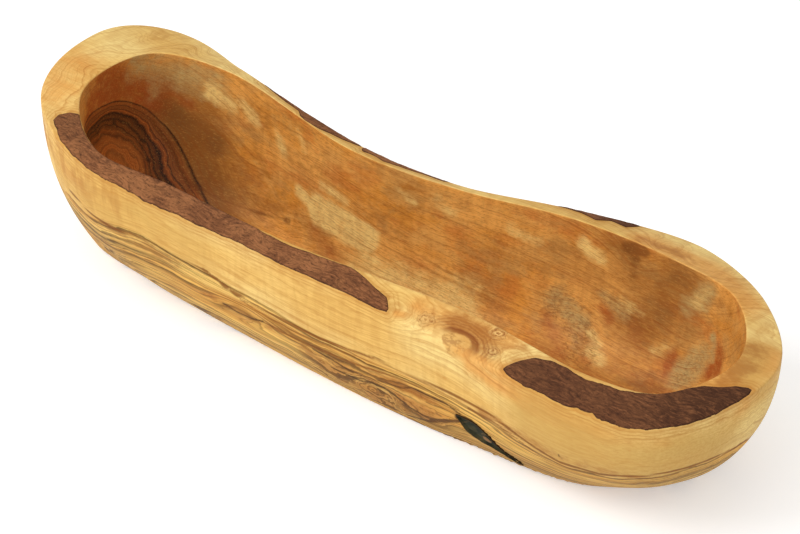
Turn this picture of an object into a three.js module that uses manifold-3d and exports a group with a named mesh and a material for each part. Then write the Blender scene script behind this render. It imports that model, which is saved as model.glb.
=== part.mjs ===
// Bread bowl carved from one length of olive log, with natural bark left on its rim.
// Millimetres, +Z up. The bowl's long axis is X, and its higher end is at -X.
// The origin is on the table, under the middle of the bowl's box. The front faces -Y.

import * as THREE from 'three';
import { mergeVertices } from 'three/addons/utils/BufferGeometryUtils.js';
import Module from 'manifold-3d';

const wasm = await Module();
wasm.setup();

// Driving sizes of the hollow, measured at its rim edge
const HOLLOW_LENGTH = 353;
const HOLLOW_WIDTH = 106;
const HOLLOW_ROUNDNESS = 2.3;
const FLOOR_THICKNESS = 12;
const FLOOR_FLAT_SHARE = 0.3;
const SPINE_SHARE = 0.62;

// Driving sizes of the rim: how high it stands, how it rises and slopes, and its usual width
const RIM_HEIGHT = 74;
const RIM_END_RISE = 6.4;
const HIGH_END_LIFT = 5.8;
const RIM_SIDE_SLOPE = 0.3;
const RIM_WIDTH = 13;

// How full the outer wall is between the rim and the foot, at the ends and along the sides
const END_FULLNESS = 2.15;
const SIDE_FULLNESS = 2.4;

// The bark that is left in the rim, and the seam between bark and wood
const BARK_THICKNESS = 3;
const SEAM = 0.3;

// The pocket of dark ingrown bark low on the front wall
const POCKET_LENGTH = 36;
const POCKET_HEIGHT = 12;
const POCKET_DEPTH = 5;
const POCKET_TILT_DEG = -38;
const POCKET_STATION = 13.26;
const POCKET_LEVEL = 15.5;

// Steps of the mesh: around the bowl per station, up the wall, down the hollow, and along
// each side of the pocket
const STEPS_PER_STATION = 9;
const WALL_STEPS = 9;
const HOLLOW_STEPS = 9;
const POCKET_STEPS = 8;

// The hollow's rim edge as drawn, from the +X tip along the back: x, y and the rim's width
// there as a share of its usual width
const DRAWN_LENGTH = 353;
const DRAWN_WIDTH = 106;
const RIM_PLAN = [
  [182, 1, 1.35], [156, 38, 1.05], [115, 46, 1.9], [66, 44, 0.95],
  [11, 29, 0.42], [-44, 21, 0.67], [-128, 30, 0.72], [-162, 18, 2.5],
  [-170, 0, 2.15], [-166, -31, 1.55], [-132, -58, 0.8], [-90, -55, 1],
  [-24, -52, 0.9], [71, -41, 1.4], [142, -45, 1.4], [170, -37, 1.5],
];

// The flat foot as drawn, with one point for each point of the rim
const FOOT_PLAN = [
  [164, 3], [147, 30], [99, 38], [47, 32],
  [-7, 20], [-62, 17], [-118, 20], [-160, 15],
  [-177, -7], [-166, -30], [-117, -39], [-54, -43],
  [15, -45], [74, -42], [129, -33], [154, -10],
];

// Each bark patch: rows of station, inner edge and outer edge, as shares of the rim's width.
// Below 0 or above 1 the patch runs past the rim's edge there, so that it is cut flush with it.
const PAST_INNER = -0.2;
const PAST_OUTER = 1.2;
const BARK_PATCHES = {
  bark_front_left: [
    [9.36, PAST_INNER, 0.8], [9.6, PAST_INNER, PAST_OUTER], [11.8, PAST_INNER, PAST_OUTER],
    [12.3, 0.08, PAST_OUTER], [12.52, 0.34, PAST_OUTER], [12.62, 0.7, PAST_OUTER],
  ],
  bark_front_right: [
    [13.5, 0.5, PAST_OUTER], [13.62, 0.12, PAST_OUTER], [15.3, 0.08, PAST_OUTER],
    [15.52, 0.32, PAST_OUTER], [15.7, 0.7, PAST_OUTER],
  ],
  bark_back_left: [
    [5.02, 0.8, PAST_OUTER], [5.24, 0.35, PAST_OUTER], [5.42, 0.12, PAST_OUTER],
    [5.52, 0.5, PAST_OUTER], [5.76, 0.85, PAST_OUTER],
  ],
  bark_back_middle: [
    [4.1, 0.6, PAST_OUTER], [4.4, 0.55, PAST_OUTER], [4.7, 0.25, PAST_OUTER], [4.94, 0.4, PAST_OUTER],
  ],
  bark_back_right: [
    [2.54, 0.7, PAST_OUTER], [2.86, 0.42, PAST_OUTER], [3.22, 0.85, PAST_OUTER],
  ],
};

const STATIONS = RIM_PLAN.length;
const SCALE_X = HOLLOW_LENGTH / DRAWN_LENGTH;
const SCALE_Y = HOLLOW_WIDTH / DRAWN_WIDTH;
const REACH = HOLLOW_LENGTH / 2;

// How far a cutting shape stands out of the surface that it cuts
const CUT_CLEARANCE = 6;

// A short step along the rim, in stations, that directions and distances are taken from
const NUDGE = 0.01;

// Corners closer than this are one corner
const SAME_POINT = 1e-5;

const rimCurve = closedCurve(RIM_PLAN.map(([x, y, share]) => [x * SCALE_X, y * SCALE_Y, share]));
const footCurve = closedCurve(FOOT_PLAN.map(([x, y]) => [x * SCALE_X, y * SCALE_Y, 0]));
const centre = planCentre();

function closedCurve(rows) {
  const points = rows.map(([x, y, z]) => new THREE.Vector3(x, y, z));
  return new THREE.CatmullRomCurve3(points, true, 'centripetal');
}

function pointAt(curve, station) {
  const share = (station % STATIONS) / STATIONS;
  return curve.getPoint((share + 1) % 1);
}

// The outward direction of the rim edge in plan
function outwardAt(station) {
  const ahead = pointAt(rimCurve, station + NUDGE);
  const behind = pointAt(rimCurve, station - NUDGE);
  return new THREE.Vector2(ahead.y - behind.y, behind.x - ahead.x).normalize();
}

// How many millimetres of the rim edge one station is long here
function stationLength(station) {
  const ahead = rimAt(station + NUDGE).inner;
  const behind = rimAt(station - NUDGE).inner;
  return ahead.distanceTo(behind) / (2 * NUDGE);
}

// The middle of the bowl's box in plan, which the origin lies under
function planCentre() {
  const box = new THREE.Box2();
  for (let i = 0; i < STATIONS * STEPS_PER_STATION; i++) {
    const { x, y } = rawRimAt(i / STEPS_PER_STATION).outer;
    box.expandByPoint(new THREE.Vector2(x, y));
  }
  return box.getCenter(new THREE.Vector2());
}

// The rim at a station before centring: its inner edge, its outer edge and its outward direction
function rawRimAt(station) {
  const drawn = pointAt(rimCurve, station);
  const outward = outwardAt(station);
  const width = drawn.z * RIM_WIDTH;
  const along = drawn.x / REACH;
  const height = RIM_HEIGHT + RIM_END_RISE * along ** 2 - HIGH_END_LIFT * along;
  const fall = RIM_SIDE_SLOPE * outward.y ** 2 * width;
  const inner = new THREE.Vector3(drawn.x, drawn.y, height);
  const outer = new THREE.Vector3(
    drawn.x + outward.x * width, drawn.y + outward.y * width, height - fall);
  return { inner, outer, outward, width };
}

function rimAt(station) {
  const rim = rawRimAt(station);
  for (const edge of [rim.inner, rim.outer]) {
    edge.x -= centre.x;
    edge.y -= centre.y;
  }
  return rim;
}

// A point of the outer wall: depth 0 is at the rim and depth 1 at the foot
function wallPoint(station, depth) {
  const { outer, outward } = rimAt(station);
  const foot = pointAt(footCurve, station);
  const fullness = THREE.MathUtils.lerp(END_FULLNESS, SIDE_FULLNESS, outward.y ** 2);
  const inward = depth ** fullness;
  return new THREE.Vector3(
    THREE.MathUtils.lerp(outer.x, foot.x - centre.x, inward),
    THREE.MathUtils.lerp(outer.y, foot.y - centre.y, inward),
    outer.z * (1 - depth));
}

// A point of the hollow: turn 0 is at the rim edge and a quarter turn is on the flat floor
function hollowPoint(station, turn) {
  const { inner } = rimAt(station);
  const reach = Math.cos(turn) ** (2 / HOLLOW_ROUNDNESS);
  const share = FLOOR_FLAT_SHARE + (1 - FLOOR_FLAT_SHARE) * reach;
  const sunk = Math.sin(turn) ** (2 / HOLLOW_ROUNDNESS);
  const spineX = inner.x * SPINE_SHARE;
  return new THREE.Vector3(
    THREE.MathUtils.lerp(spineX, inner.x, share),
    inner.y * share,
    THREE.MathUtils.lerp(inner.z, FLOOR_THICKNESS, sunk));
}

function ring(pointOf) {
  const count = STATIONS * STEPS_PER_STATION;
  return Array.from({ length: count }, (_, i) => pointOf(i / STEPS_PER_STATION));
}

// A closed body through rings of equally many points, with flat caps on its first and last ring
function loft(rings) {
  const count = rings[0].length;
  const positions = rings.flat().flatMap((point) => [point.x, point.y, point.z]);
  const index = [];
  for (let r = 0; r < rings.length - 1; r++) {
    for (let i = 0; i < count; i++) {
      const next = (i + 1) % count;
      const a = r * count + i;
      const b = r * count + next;
      index.push(a, b, b + count, a, b + count, a + count);
    }
  }
  const capOf = (points) => THREE.ShapeUtils.triangulateShape(
    points.map((point) => new THREE.Vector2(point.x, point.y)), []);
  for (const [a, b, c] of capOf(rings[0])) index.push(a, c, b);
  const top = (rings.length - 1) * count;
  for (const [a, b, c] of capOf(rings.at(-1))) index.push(top + a, top + b, top + c);
  return solidFrom(positions, index);
}

function solidFrom(positions, index) {
  const geometry = new THREE.BufferGeometry();
  geometry.setAttribute('position', new THREE.Float32BufferAttribute(positions, 3));
  geometry.setIndex(index);
  return toSolid(geometry);
}

function toSolid(geometry) {
  const bare = geometry.clone();
  bare.deleteAttribute('normal');
  bare.deleteAttribute('uv');
  const merged = mergeVertices(bare, SAME_POINT);
  return new wasm.Manifold(new wasm.Mesh({
    numProp: 3,
    vertProperties: new Float32Array(merged.attributes.position.array),
    triVerts: new Uint32Array(merged.index.array),
  }));
}

function toGeometry(solid) {
  const { vertProperties, triVerts } = solid.getMesh();
  const geometry = new THREE.BufferGeometry();
  geometry.setAttribute('position', new THREE.Float32BufferAttribute(vertProperties, 3));
  geometry.setIndex(Array.from(triVerts));
  geometry.computeVertexNormals();
  return geometry;
}

// The carved bowl before anything is cut for the bark: foot, wall, rim and hollow
function bowlBlank() {
  const rings = [];
  for (let k = WALL_STEPS; k >= 1; k--) rings.push(ring((s) => wallPoint(s, k / WALL_STEPS)));
  rings.push(ring((s) => rimAt(s).outer));
  for (let k = 0; k <= HOLLOW_STEPS; k++) {
    const turn = (Math.PI / 2) * (k / HOLLOW_STEPS);
    rings.push(ring((s) => hollowPoint(s, turn)));
  }
  return loft(rings);
}

// The edges of a bark patch at a station, drawn in straight runs between its rows
function patchEdges(rows, station) {
  const at = rows.findIndex(([start]) => start >= station);
  const after = rows[at < 0 ? rows.length - 1 : Math.max(at, 1)];
  const before = rows[rows.indexOf(after) - 1];
  const share = THREE.MathUtils.clamp((station - before[0]) / (after[0] - before[0]), 0, 1);
  return [1, 2].map((column) => THREE.MathUtils.lerp(before[column], after[column], share));
}

// A cutting shape as wide as a bark patch that sinks into the rim, grown all round by a seam
function patchTool(rows, seam) {
  const first = rows[0][0];
  const last = rows.at(-1)[0];
  const count = Math.ceil((last - first) * STEPS_PER_STATION) + 1;
  const positions = [];
  for (let i = 0; i <= count; i++) {
    const drawn = THREE.MathUtils.lerp(first, last, i / count);
    const stretch = THREE.MathUtils.lerp(-seam, seam, i / count) / stationLength(drawn);
    const { inner, outer, width } = rimAt(drawn + stretch);
    const [from, to] = patchEdges(rows, drawn);
    const near = inner.clone().lerp(outer, from - seam / width);
    const far = inner.clone().lerp(outer, to + seam / width);
    const sink = BARK_THICKNESS + seam;
    positions.push(near.x, near.y, near.z + CUT_CLEARANCE, far.x, far.y, far.z + CUT_CLEARANCE);
    positions.push(far.x, far.y, far.z - sink, near.x, near.y, near.z - sink);
  }
  const index = [0, 2, 1, 0, 3, 2];
  for (let i = 0; i < count; i++) {
    for (let side = 0; side < 4; side++) {
      const a = i * 4 + side;
      const b = i * 4 + ((side + 1) % 4);
      index.push(a, b, a + 4, b, b + 4, a + 4);
    }
  }
  const end = count * 4;
  index.push(end, end + 1, end + 2, end, end + 2, end + 3);
  return solidFrom(positions, index);
}

// A lens-shaped cutting shape that enters the front wall, grown all round by a seam
function pocketTool(seam) {
  const half = POCKET_LENGTH / 2 + seam;
  const bulge = POCKET_HEIGHT / 2 + seam;
  const outline = new THREE.Shape();
  outline.moveTo(-half, 0);
  outline.quadraticCurveTo(0, -2 * bulge, half, 0);
  outline.quadraticCurveTo(0, 2 * bulge, -half, 0);
  const depth = POCKET_DEPTH + seam;
  const geometry = new THREE.ExtrudeGeometry(outline, {
    depth: depth + CUT_CLEARANCE, bevelEnabled: false, curveSegments: POCKET_STEPS,
  });
  geometry.translate(0, 0, -depth);
  geometry.rotateZ(THREE.MathUtils.degToRad(POCKET_TILT_DEG));
  const { outer, outward } = rimAt(POCKET_STATION);
  const place = wallPoint(POCKET_STATION, 1 - POCKET_LEVEL / outer.z);
  const out = new THREE.Vector3(outward.x, outward.y, 0);
  const up = new THREE.Vector3(0, 0, 1);
  const frame = new THREE.Matrix4().makeBasis(up.clone().cross(out), up, out).setPosition(place);
  return toSolid(geometry.applyMatrix4(frame));
}

const materials = {
  wood: new THREE.MeshStandardMaterial({ color: 0xd8a95f, roughness: 0.42, metalness: 0 }),
  bark: new THREE.MeshStandardMaterial({ color: 0x5c3a2b, roughness: 0.75, metalness: 0 }),
  pocket: new THREE.MeshStandardMaterial({ color: 0x2c2a22, roughness: 0.7, metalness: 0 }),
};

const bowl = new THREE.Group();

function addPiece(name, solid, material) {
  const piece = new THREE.Mesh(toGeometry(solid), material);
  piece.name = name;
  bowl.add(piece);
}

const blank = bowlBlank();
let body = blank.subtract(pocketTool(SEAM));
for (const [name, rows] of Object.entries(BARK_PATCHES)) {
  addPiece(name, blank.intersect(patchTool(rows, 0)), materials.bark);
  body = body.subtract(patchTool(rows, SEAM));
}
addPiece('bark_pocket', blank.intersect(pocketTool(0)), materials.pocket);
addPiece('bowl_body', body, materials.wood);

export default bowl;
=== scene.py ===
"""A live-edge bread bowl carved from an olive log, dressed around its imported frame.

Everything is in metres in the frame's own axes: +X along the bowl, +Z up, the front faces -Y.
Outlines and details are drawn in millimetres and turned to metres by MM.
"""

import math

import bpy
import numpy as np
from mathutils.kdtree import KDTree
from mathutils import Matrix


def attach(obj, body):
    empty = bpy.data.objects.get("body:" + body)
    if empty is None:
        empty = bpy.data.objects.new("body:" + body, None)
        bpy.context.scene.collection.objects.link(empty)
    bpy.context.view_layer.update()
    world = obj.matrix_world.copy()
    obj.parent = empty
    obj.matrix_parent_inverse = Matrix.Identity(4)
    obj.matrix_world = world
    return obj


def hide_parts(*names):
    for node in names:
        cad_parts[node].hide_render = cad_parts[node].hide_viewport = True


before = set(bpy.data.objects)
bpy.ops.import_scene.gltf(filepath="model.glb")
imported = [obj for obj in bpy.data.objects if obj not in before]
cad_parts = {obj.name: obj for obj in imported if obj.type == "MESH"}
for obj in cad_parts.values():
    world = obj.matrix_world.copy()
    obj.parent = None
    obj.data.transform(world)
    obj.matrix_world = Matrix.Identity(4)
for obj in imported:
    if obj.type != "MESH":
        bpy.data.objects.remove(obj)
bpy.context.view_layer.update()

bl_info = {
    "name": "Live-edge bread bowl",
    "version": (1, 0, 0),
    "blender": (4, 5, 0),
    "location": "3D View > Sidebar > Bread Bowl",
    "description": "Dresses the packed bread bowl in olive wood, bark and a studio",
    "category": "Object",
}

MM = 0.001

# The hollow's rim edge from the +X tip along the back: x, y and the share of the usual rim width
RIM_PLAN = np.array([
    (182, 1, 1.35), (156, 38, 1.05), (115, 46, 1.9), (66, 44, 0.95),
    (11, 29, 0.42), (-44, 21, 0.67), (-128, 30, 0.72), (-162, 18, 2.5),
    (-170, 0, 2.15), (-166, -31, 1.55), (-132, -58, 0.8), (-90, -55, 1),
    (-24, -52, 0.9), (71, -41, 1.4), (142, -45, 1.4), (170, -37, 1.5),
], float)

# The foot's edge at the same stations: x, y and height
FOOT_PLAN = np.array([
    (164, 3, 0), (147, 30, 0), (99, 38, 0), (47, 32, 0),
    (-7, 20, 0), (-62, 17, 0), (-118, 20, 0), (-160, 15, 0),
    (-177, -7, 0), (-166, -30, 0), (-117, -39, 0), (-54, -43, 0),
    (15, -45, 0), (74, -42, 0), (129, -33, 0), (154, -10, 0),
], float)
STATIONS = len(RIM_PLAN)

# Driving sizes of the bowl, in millimetres
RIM_WIDTH = 13.0
RIM_HEIGHT = 74.0
RIM_END_RISE = 6.4
HIGH_END_LIFT = 5.8
RIM_SIDE_SLOPE = 0.3
RIM_REACH = 176.5
END_FULLNESS = 2.15
SIDE_FULLNESS = 2.4
FLOOR_THICKNESS = 12.0
FLOOR_FLAT_SHARE = 0.3
HOLLOW_ROUNDNESS = 2.3
SPINE_SHARE = 0.62

# Fineness of the mesh round the bowl, the step that directions along the rim are taken over, and
# the points that a rounded edge is the mean of
STEPS_PER_STATION = 42
NUDGE = 0.01
ROUNDING_SAMPLES = 9

# The mesh's rings from the middle of the foot to the middle of the floor: shares of the way out
# over the foot, depths down the wall, millimetres and shares across the rim, shares of the floor.
# A chipped depth is paired with its share of the chips
FOOT_SHARES = (0.05, 0.25, 0.45, 0.65, 0.82)
CHIPPED_SHARES = (0.94, 0.985)
CHIPPED_DEPTHS = ((0.994, 1.0), (0.985, 0.8), (0.972, 0.45), (0.955, 0.15))
WALL_DEPTHS = (*np.linspace(0.935, 0.45, 28), *np.linspace(0.42, 0.06, 14))
OUTER_EDGE_DROPS = (3.4, 2.4, 1.6, 0.9, 0.45, 0.0, -0.45, -0.9, -1.4)
RIM_SHARES = np.linspace(1, 0, 12)[1:-1]
RIM_MARGIN = 1.4
INNER_EDGE_GIRTHS = (1.4, 0.8, 0.4, 0.0, -0.4, -0.8, -1.6, -3.0)
HOLLOW_START = 0.075
HOLLOW_RINGS = 44
FLOOR_SHARES = (0.8, 0.6, 0.4, 0.2, 0.06)

# Bark left on the rim: rows of station, inner edge and outer edge as shares of the rim's width
BARK_PATCHES = {
    "bark_front_left": [
        (9.33, 0.3, 0.62), (9.4, -0.02, 0.84), (9.7, -0.02, 0.95), (10.1, -0.02, 1.03),
        (10.9, -0.02, 1.04), (11.56, -0.02, 0.96), (11.78, -0.02, 0.99), (11.84, 0.05, 1.0),
        (12.04, 0.1, 1.0), (12.26, 0.05, 1.01), (12.38, 0.02, 1.0), (12.44, 0.14, 1.0),
        (12.54, 0.38, 0.99), (12.61, 0.52, 0.97), (12.65, 0.84, 0.94),
    ],
    "bark_front_right": [
        (13.44, 0.8, 0.88), (13.48, 0.5, 0.96), (13.54, 0.24, 0.99), (13.64, 0.08, 1.0),
        (13.76, 0.06, 1.0), (13.94, 0.13, 1.0), (14.0, 0.12, 0.93), (14.2, 0.08, 0.92),
        (14.3, 0.09, 1.0), (14.6, 0.04, 1.02), (15.04, -0.02, 1.02), (15.3, 0.0, 1.02),
        (15.44, 0.1, 1.0), (15.54, 0.3, 1.0), (15.66, 0.54, 0.98), (15.72, 0.8, 0.92),
    ],
    "bark_back_left": [
        (5.02, 0.86, 1.0), (5.12, 0.58, 1.02), (5.22, 0.4, 1.02), (5.3, 0.1, 1.02),
        (5.38, -0.02, 1.02), (5.43, 0.1, 1.02), (5.47, 0.52, 1.02), (5.6, 0.56, 1.02),
        (5.7, 0.74, 1.0), (5.78, 0.94, 1.0),
    ],
    "bark_back_middle": [
        (4.1, 0.9, 1.0), (4.16, 0.58, 1.02), (4.34, 0.64, 1.02), (4.58, 0.48, 1.02),
        (4.74, 0.3, 1.02), (4.86, 0.5, 1.02), (4.96, 0.44, 1.02), (5.0, 0.7, 1.0),
    ],
    "bark_back_right": [
        (2.54, 0.88, 1.0), (2.6, 0.6, 1.02), (2.76, 0.74, 1.02), (2.86, 0.46, 1.02),
        (3.02, 0.72, 1.02), (3.22, 0.94, 1.0),
    ],
}

# The bark's thickness, how far it stands proud, how ragged its inner and outer edges are, and its
# mesh: points across, and steps along for each of the bowl's
BARK_THICKNESS = 2.6
BARK_PROUD = 0.32
BARK_RAGGED = (0.18, 0.38)
BARK_ACROSS = 16
BARK_FINENESS = 1.6

# The bed under the bark: its depth, how far in from the bark's border it starts, and its slope
RECESS_DEPTH = 2.2
RECESS_INSET = 2.8
RECESS_SLOPE = 1.5

# How far from the bark its outlines are painted, how far off they are looked for, and the steps
HALO_REACH = 3.6
HALO_SEARCH = 12
HALO_STEPS = 160

# The outer rim edge is worn round between the two front patches of bark
SOFT_EDGE_RADIUS = 3.2
SOFT_EDGE_STATIONS = (12.6, 12.85, 13.25, 13.46)

# The pocket of ingrown bark low on the front wall
POCKET_STATION = 13.26
POCKET_LEVEL = 15.5
POCKET_LENGTH = 36.0
POCKET_HEIGHT = 11.4
POCKET_DEPTH = 4.0
POCKET_TILT_DEG = -34.0
POCKET_RECESS = 3.0

# How much of the wall round the pocket is looked at, in stations and in millimetres of depth, and
# the pocket's mesh
POCKET_STRETCH = 0.6
POCKET_NEAR = 6
POCKET_ROWS = 70
POCKET_COLUMNS = 24

# The saw left the front foot edge rough between these places along the bowl: how far it is
# chipped there and elsewhere, and the waves of its chips, each a rate and a share
ROUGH_EDGE = (35.0, 75.0, 178.0, 192.0)
ROUGH_EDGE_DEPTH = 0.9
EVEN_EDGE_DEPTH = 0.12
SAW_WAVES = ((9, 0.8), (14, 1.0), (20, 0.9))

# The log's pith as it runs under the bowl: x, y, z and the radius of the dark heart round it
PITH = [
    (-200, -10, 10, 33), (-180, -16, 26, 35.5), (-165, -21, 32, 38.5), (-140, -27, 29, 42.5),
    (-104, -37, 20, 45), (-65, -38, 12, 45), (-29, -36, 5, 44), (15, -33, 0, 45),
    (57, -31, 0, 47), (110, -29, -3, 46), (153, -28, -6, 47), (175, -24, -10, 55),
    (200, -18, -16, 56),
]

# The span of x and the range of the other columns that the pith's curves are drawn in
PITH_SPAN = (-200.0, 200.0)
PITH_RANGE = (-60.0, 60.0)

# The photograph's camera
CAMERA_AZIMUTH_DEG = 38.5
CAMERA_ELEVATION_DEG = 36.0
CAMERA_DISTANCE = 1.43
CAMERA_TARGET = (-0.00195, 0.0008, 0.04)
CAMERA_LENS = 140.3


# Surface of the bowl

def catmull_rom(points, station):
    """Points of a closed centripetal curve, where a station is the number of a drawn point."""
    count = len(points)
    station = np.asarray(station, float) % count
    first = np.floor(station).astype(int)
    share = (station - first)[:, None]
    p = [points[(first + k) % count] for k in (-1, 0, 1, 2)]
    gap = [np.linalg.norm(p[k + 1] - p[k], axis=1)[:, None] ** 0.5 for k in range(3)]
    leave = (p[1] - p[0]) / gap[0] - (p[2] - p[0]) / (gap[0] + gap[1]) + (p[2] - p[1]) / gap[1]
    arrive = (p[2] - p[1]) / gap[1] - (p[3] - p[1]) / (gap[1] + gap[2]) + (p[3] - p[2]) / gap[2]
    leave = leave * gap[1]
    arrive = arrive * gap[1]
    square = 3 * (p[2] - p[1]) - 2 * leave - arrive
    cube = 2 * (p[1] - p[2]) + leave + arrive
    return p[1] + leave * share + square * share ** 2 + cube * share ** 3


def raw_rim(station):
    """Inner edge, outer edge, outward direction and width of the rim, before centring."""
    station = np.asarray(station, float)
    drawn = catmull_rom(RIM_PLAN, station)
    run = catmull_rom(RIM_PLAN, station + NUDGE) - catmull_rom(RIM_PLAN, station - NUDGE)
    outward = np.stack([run[:, 1], -run[:, 0]], axis=1)
    outward /= np.linalg.norm(outward, axis=1)[:, None]
    width = drawn[:, 2] * RIM_WIDTH
    along = drawn[:, 0] / RIM_REACH
    height = RIM_HEIGHT + RIM_END_RISE * along ** 2 - HIGH_END_LIFT * along
    fall = RIM_SIDE_SLOPE * outward[:, 1] ** 2 * width
    inner = np.stack([drawn[:, 0], drawn[:, 1], height], axis=1)
    outer_plan = drawn[:, :2] + outward * width[:, None]
    outer = np.concatenate([outer_plan, (height - fall)[:, None]], axis=1)
    return inner, outer, outward, width


def plan_centre():
    """The middle of the bowl's box in plan, which the frame's origin lies under."""
    outer = raw_rim(np.arange(0, STATIONS, 0.05))[1]
    middle = (outer.min(axis=0) + outer.max(axis=0)) / 2
    return np.array([middle[0], middle[1], 0.0])


CENTRE = plan_centre()


def rim_at(station):
    """Inner edge, outer edge, outward direction and width of the rim, in the frame's axes."""
    inner, outer, outward, width = raw_rim(station)
    return inner - CENTRE, outer - CENTRE, outward, width


def blend(a, b, share):
    return a + (b - a) * share


def foot_at(station):
    return catmull_rom(FOOT_PLAN, station) - CENTRE


def wall_at(station, depth):
    """A point of the outer wall: depth 0 is at the rim and depth 1 at the foot."""
    outer, outward = rim_at(station)[1:3]
    fullness = blend(END_FULLNESS, SIDE_FULLNESS, outward[:, 1] ** 2)
    inward = (depth ** fullness)[:, None]
    point = blend(outer, foot_at(station), inward)
    point[:, 2] = outer[:, 2] * (1 - depth)
    return point


def hollow_at(station, turn):
    """A point of the hollow: turn 0 is at the rim edge and a quarter turn is on the floor."""
    inner = rim_at(station)[0]
    reach = np.cos(turn) ** (2 / HOLLOW_ROUNDNESS)
    share = FLOOR_FLAT_SHARE + (1 - FLOOR_FLAT_SHARE) * reach
    sunk = np.sin(turn) ** (2 / HOLLOW_ROUNDNESS)
    point = blend(hollow_spine(inner), inner, np.reshape(share, (-1, 1)))
    point[:, 2] = blend(inner[:, 2], FLOOR_THICKNESS, sunk)
    return point


def hollow_spine(inner):
    """The line along the middle of the hollow that each point of its edge is drawn towards."""
    spine = (inner + CENTRE) * (SPINE_SHARE, 0, 1)
    return spine - CENTRE


def hollow_below(station, drop):
    """A point of the hollow that lies drop millimetres below the rim edge."""
    height = rim_at(station)[0][:, 2] - FLOOR_THICKNESS
    sunk = np.clip(drop / height, 0, 1)
    return hollow_at(station, np.arcsin(sunk ** (HOLLOW_ROUNDNESS / 2)))


def across(station, girth):
    """A point girth millimetres out from the hollow's edge, on past the rim down either side."""
    inner, outer, _, width = rim_at(station)
    share = np.clip(girth / width, 0, 1)[:, None]
    point = blend(inner, outer, share)
    inside = girth < 0
    if inside.any():
        point[inside] = hollow_below(station[inside], -girth[inside])
    outside = girth > width
    if outside.any():
        past = (girth - width)[outside]
        point[outside] = wall_at(station[outside], past / outer[outside][:, 2])
    return point


def rounded(station, girth, radius):
    """The same point with both edges of the rim rounded off."""
    width = rim_at(station)[3]
    low, full, still, gone = SOFT_EDGE_STATIONS
    soft = smooth_step(station, low, full) * (1 - smooth_step(station, still, gone))
    soft = soft * smooth_step(girth / width, 0.3, 0.8)
    reach = blend(radius, SOFT_EDGE_RADIUS, soft)
    offsets = np.linspace(-1, 1, ROUNDING_SAMPLES)
    return sum(across(station, girth + offset * reach) for offset in offsets) / len(offsets)


def smooth_step(value, low, high):
    share = np.clip((value - low) / (high - low), 0, 1)
    return share * share * (3 - 2 * share)


def ragged(station, seed, waves=((1.7, 1.0), (4.1, 0.7), (9.3, 0.4))):
    """An uneven line along the rim, within about -1 to 1, that is the same on each run."""
    rng = np.random.default_rng(seed)
    phases = rng.uniform(0, math.tau, len(waves))
    line = sum(share * np.sin(math.tau * rate * station + phase)
               for (rate, share), phase in zip(waves, phases))
    return line / sum(share for _, share in waves) * 1.6


def patch_edges(name, station):
    """Inner and outer edge of a bark patch at each station, in millimetres of girth."""
    rows = np.array(BARK_PATCHES[name])
    width = rim_at(station)[3]
    seed = sorted(BARK_PATCHES).index(name)
    edges = []
    for column in (1, 2):
        share = np.interp(station, rows[:, 0], rows[:, column])
        edges.append(share * width + BARK_RAGGED[column - 1] * ragged(station, 10 * column + seed))
    return edges


# Meshes

def new_object(name, points, faces):
    mesh = bpy.data.meshes.new(name)
    mesh.from_pydata((points * MM).tolist(), [], faces)
    mesh.validate()
    mesh.polygons.foreach_set("use_smooth", np.ones(len(mesh.polygons), bool))
    mesh.update()
    piece = bpy.data.objects.new(name, mesh)
    bpy.context.scene.collection.objects.link(piece)
    return piece


def ring_faces(count, rings):
    """Quads between rings of equally many points, and the two end rings zipped shut."""
    here = np.arange(count)
    after = (here + 1) % count
    faces = []
    for ring in range(rings - 1):
        low = ring * count
        quads = np.stack([low + here, low + after, low + count + after, low + count + here], axis=1)
        faces += quads.tolist()
    return faces + zipped(0, count, True) + zipped((rings - 1) * count, count, False)


def zipped(start, count, flip):
    """Closes a long ring across its width, each point to its mirror on the other side."""
    half = count // 2
    faces = [(0, 1, count - 1), (half, half + 1, half - 1)]
    faces += [(i, i + 1, count - i - 1, count - i) for i in range(1, half - 1)]
    turned = [face[::-1] if flip else face for face in faces]
    return [tuple(start + i for i in face) for face in turned]


def in_recess(station, girth):
    """How far the rim is sunk for the bark that lies on it, from 0 to 1."""
    sunk = np.zeros(len(station))
    length = station_length(station)
    for name, rows in BARK_PATCHES.items():
        low, high = patch_edges(name, station)
        ends = np.minimum(station - rows[0][0], rows[-1][0] - station) * length
        inside = np.minimum(np.minimum(girth - low, high - girth), ends)
        sunk = np.maximum(sunk, smooth_step(inside, RECESS_INSET, RECESS_INSET + RECESS_SLOPE))
    return sunk


def station_length(station):
    """Millimetres along the rim for each station."""
    ahead = rim_at(station + NUDGE)[0]
    behind = rim_at(station - NUDGE)[0]
    return np.linalg.norm(ahead - behind, axis=1) / (2 * NUDGE)


def foot_roughness(station):
    """How far the foot's edge is chipped in by the saw at each station, in millimetres."""
    low, full, still, gone = ROUGH_EDGE
    outer, outward = rim_at(station)[1:3]
    stretch = smooth_step(outer[:, 0], low, full) * (1 - smooth_step(outer[:, 0], still, gone))
    stretch = stretch * smooth_step(-outward[:, 1], 0.1, 0.5)
    chips = (1 + ragged(station, 5, SAW_WAVES)) / 2
    return blend(EVEN_EDGE_DEPTH, ROUGH_EDGE_DEPTH, stretch) * chips


def pocket_axes():
    """The pocket's middle on the wall, its long and short directions and the way out of the wall."""
    station = np.array([POCKET_STATION])
    outward = rim_at(station)[2][0]
    height = rim_at(station)[1][0, 2]
    place = wall_at(station, np.array([1 - POCKET_LEVEL / height]))[0]
    tilt = math.radians(POCKET_TILT_DEG)
    side = np.array([-outward[1], outward[0], 0])
    lengthways = math.cos(tilt) * side + (0, 0, math.sin(tilt))
    upwards = (0, 0, math.cos(tilt)) - math.sin(tilt) * side
    return place, lengthways, upwards, np.array([*outward, 0])


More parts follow.
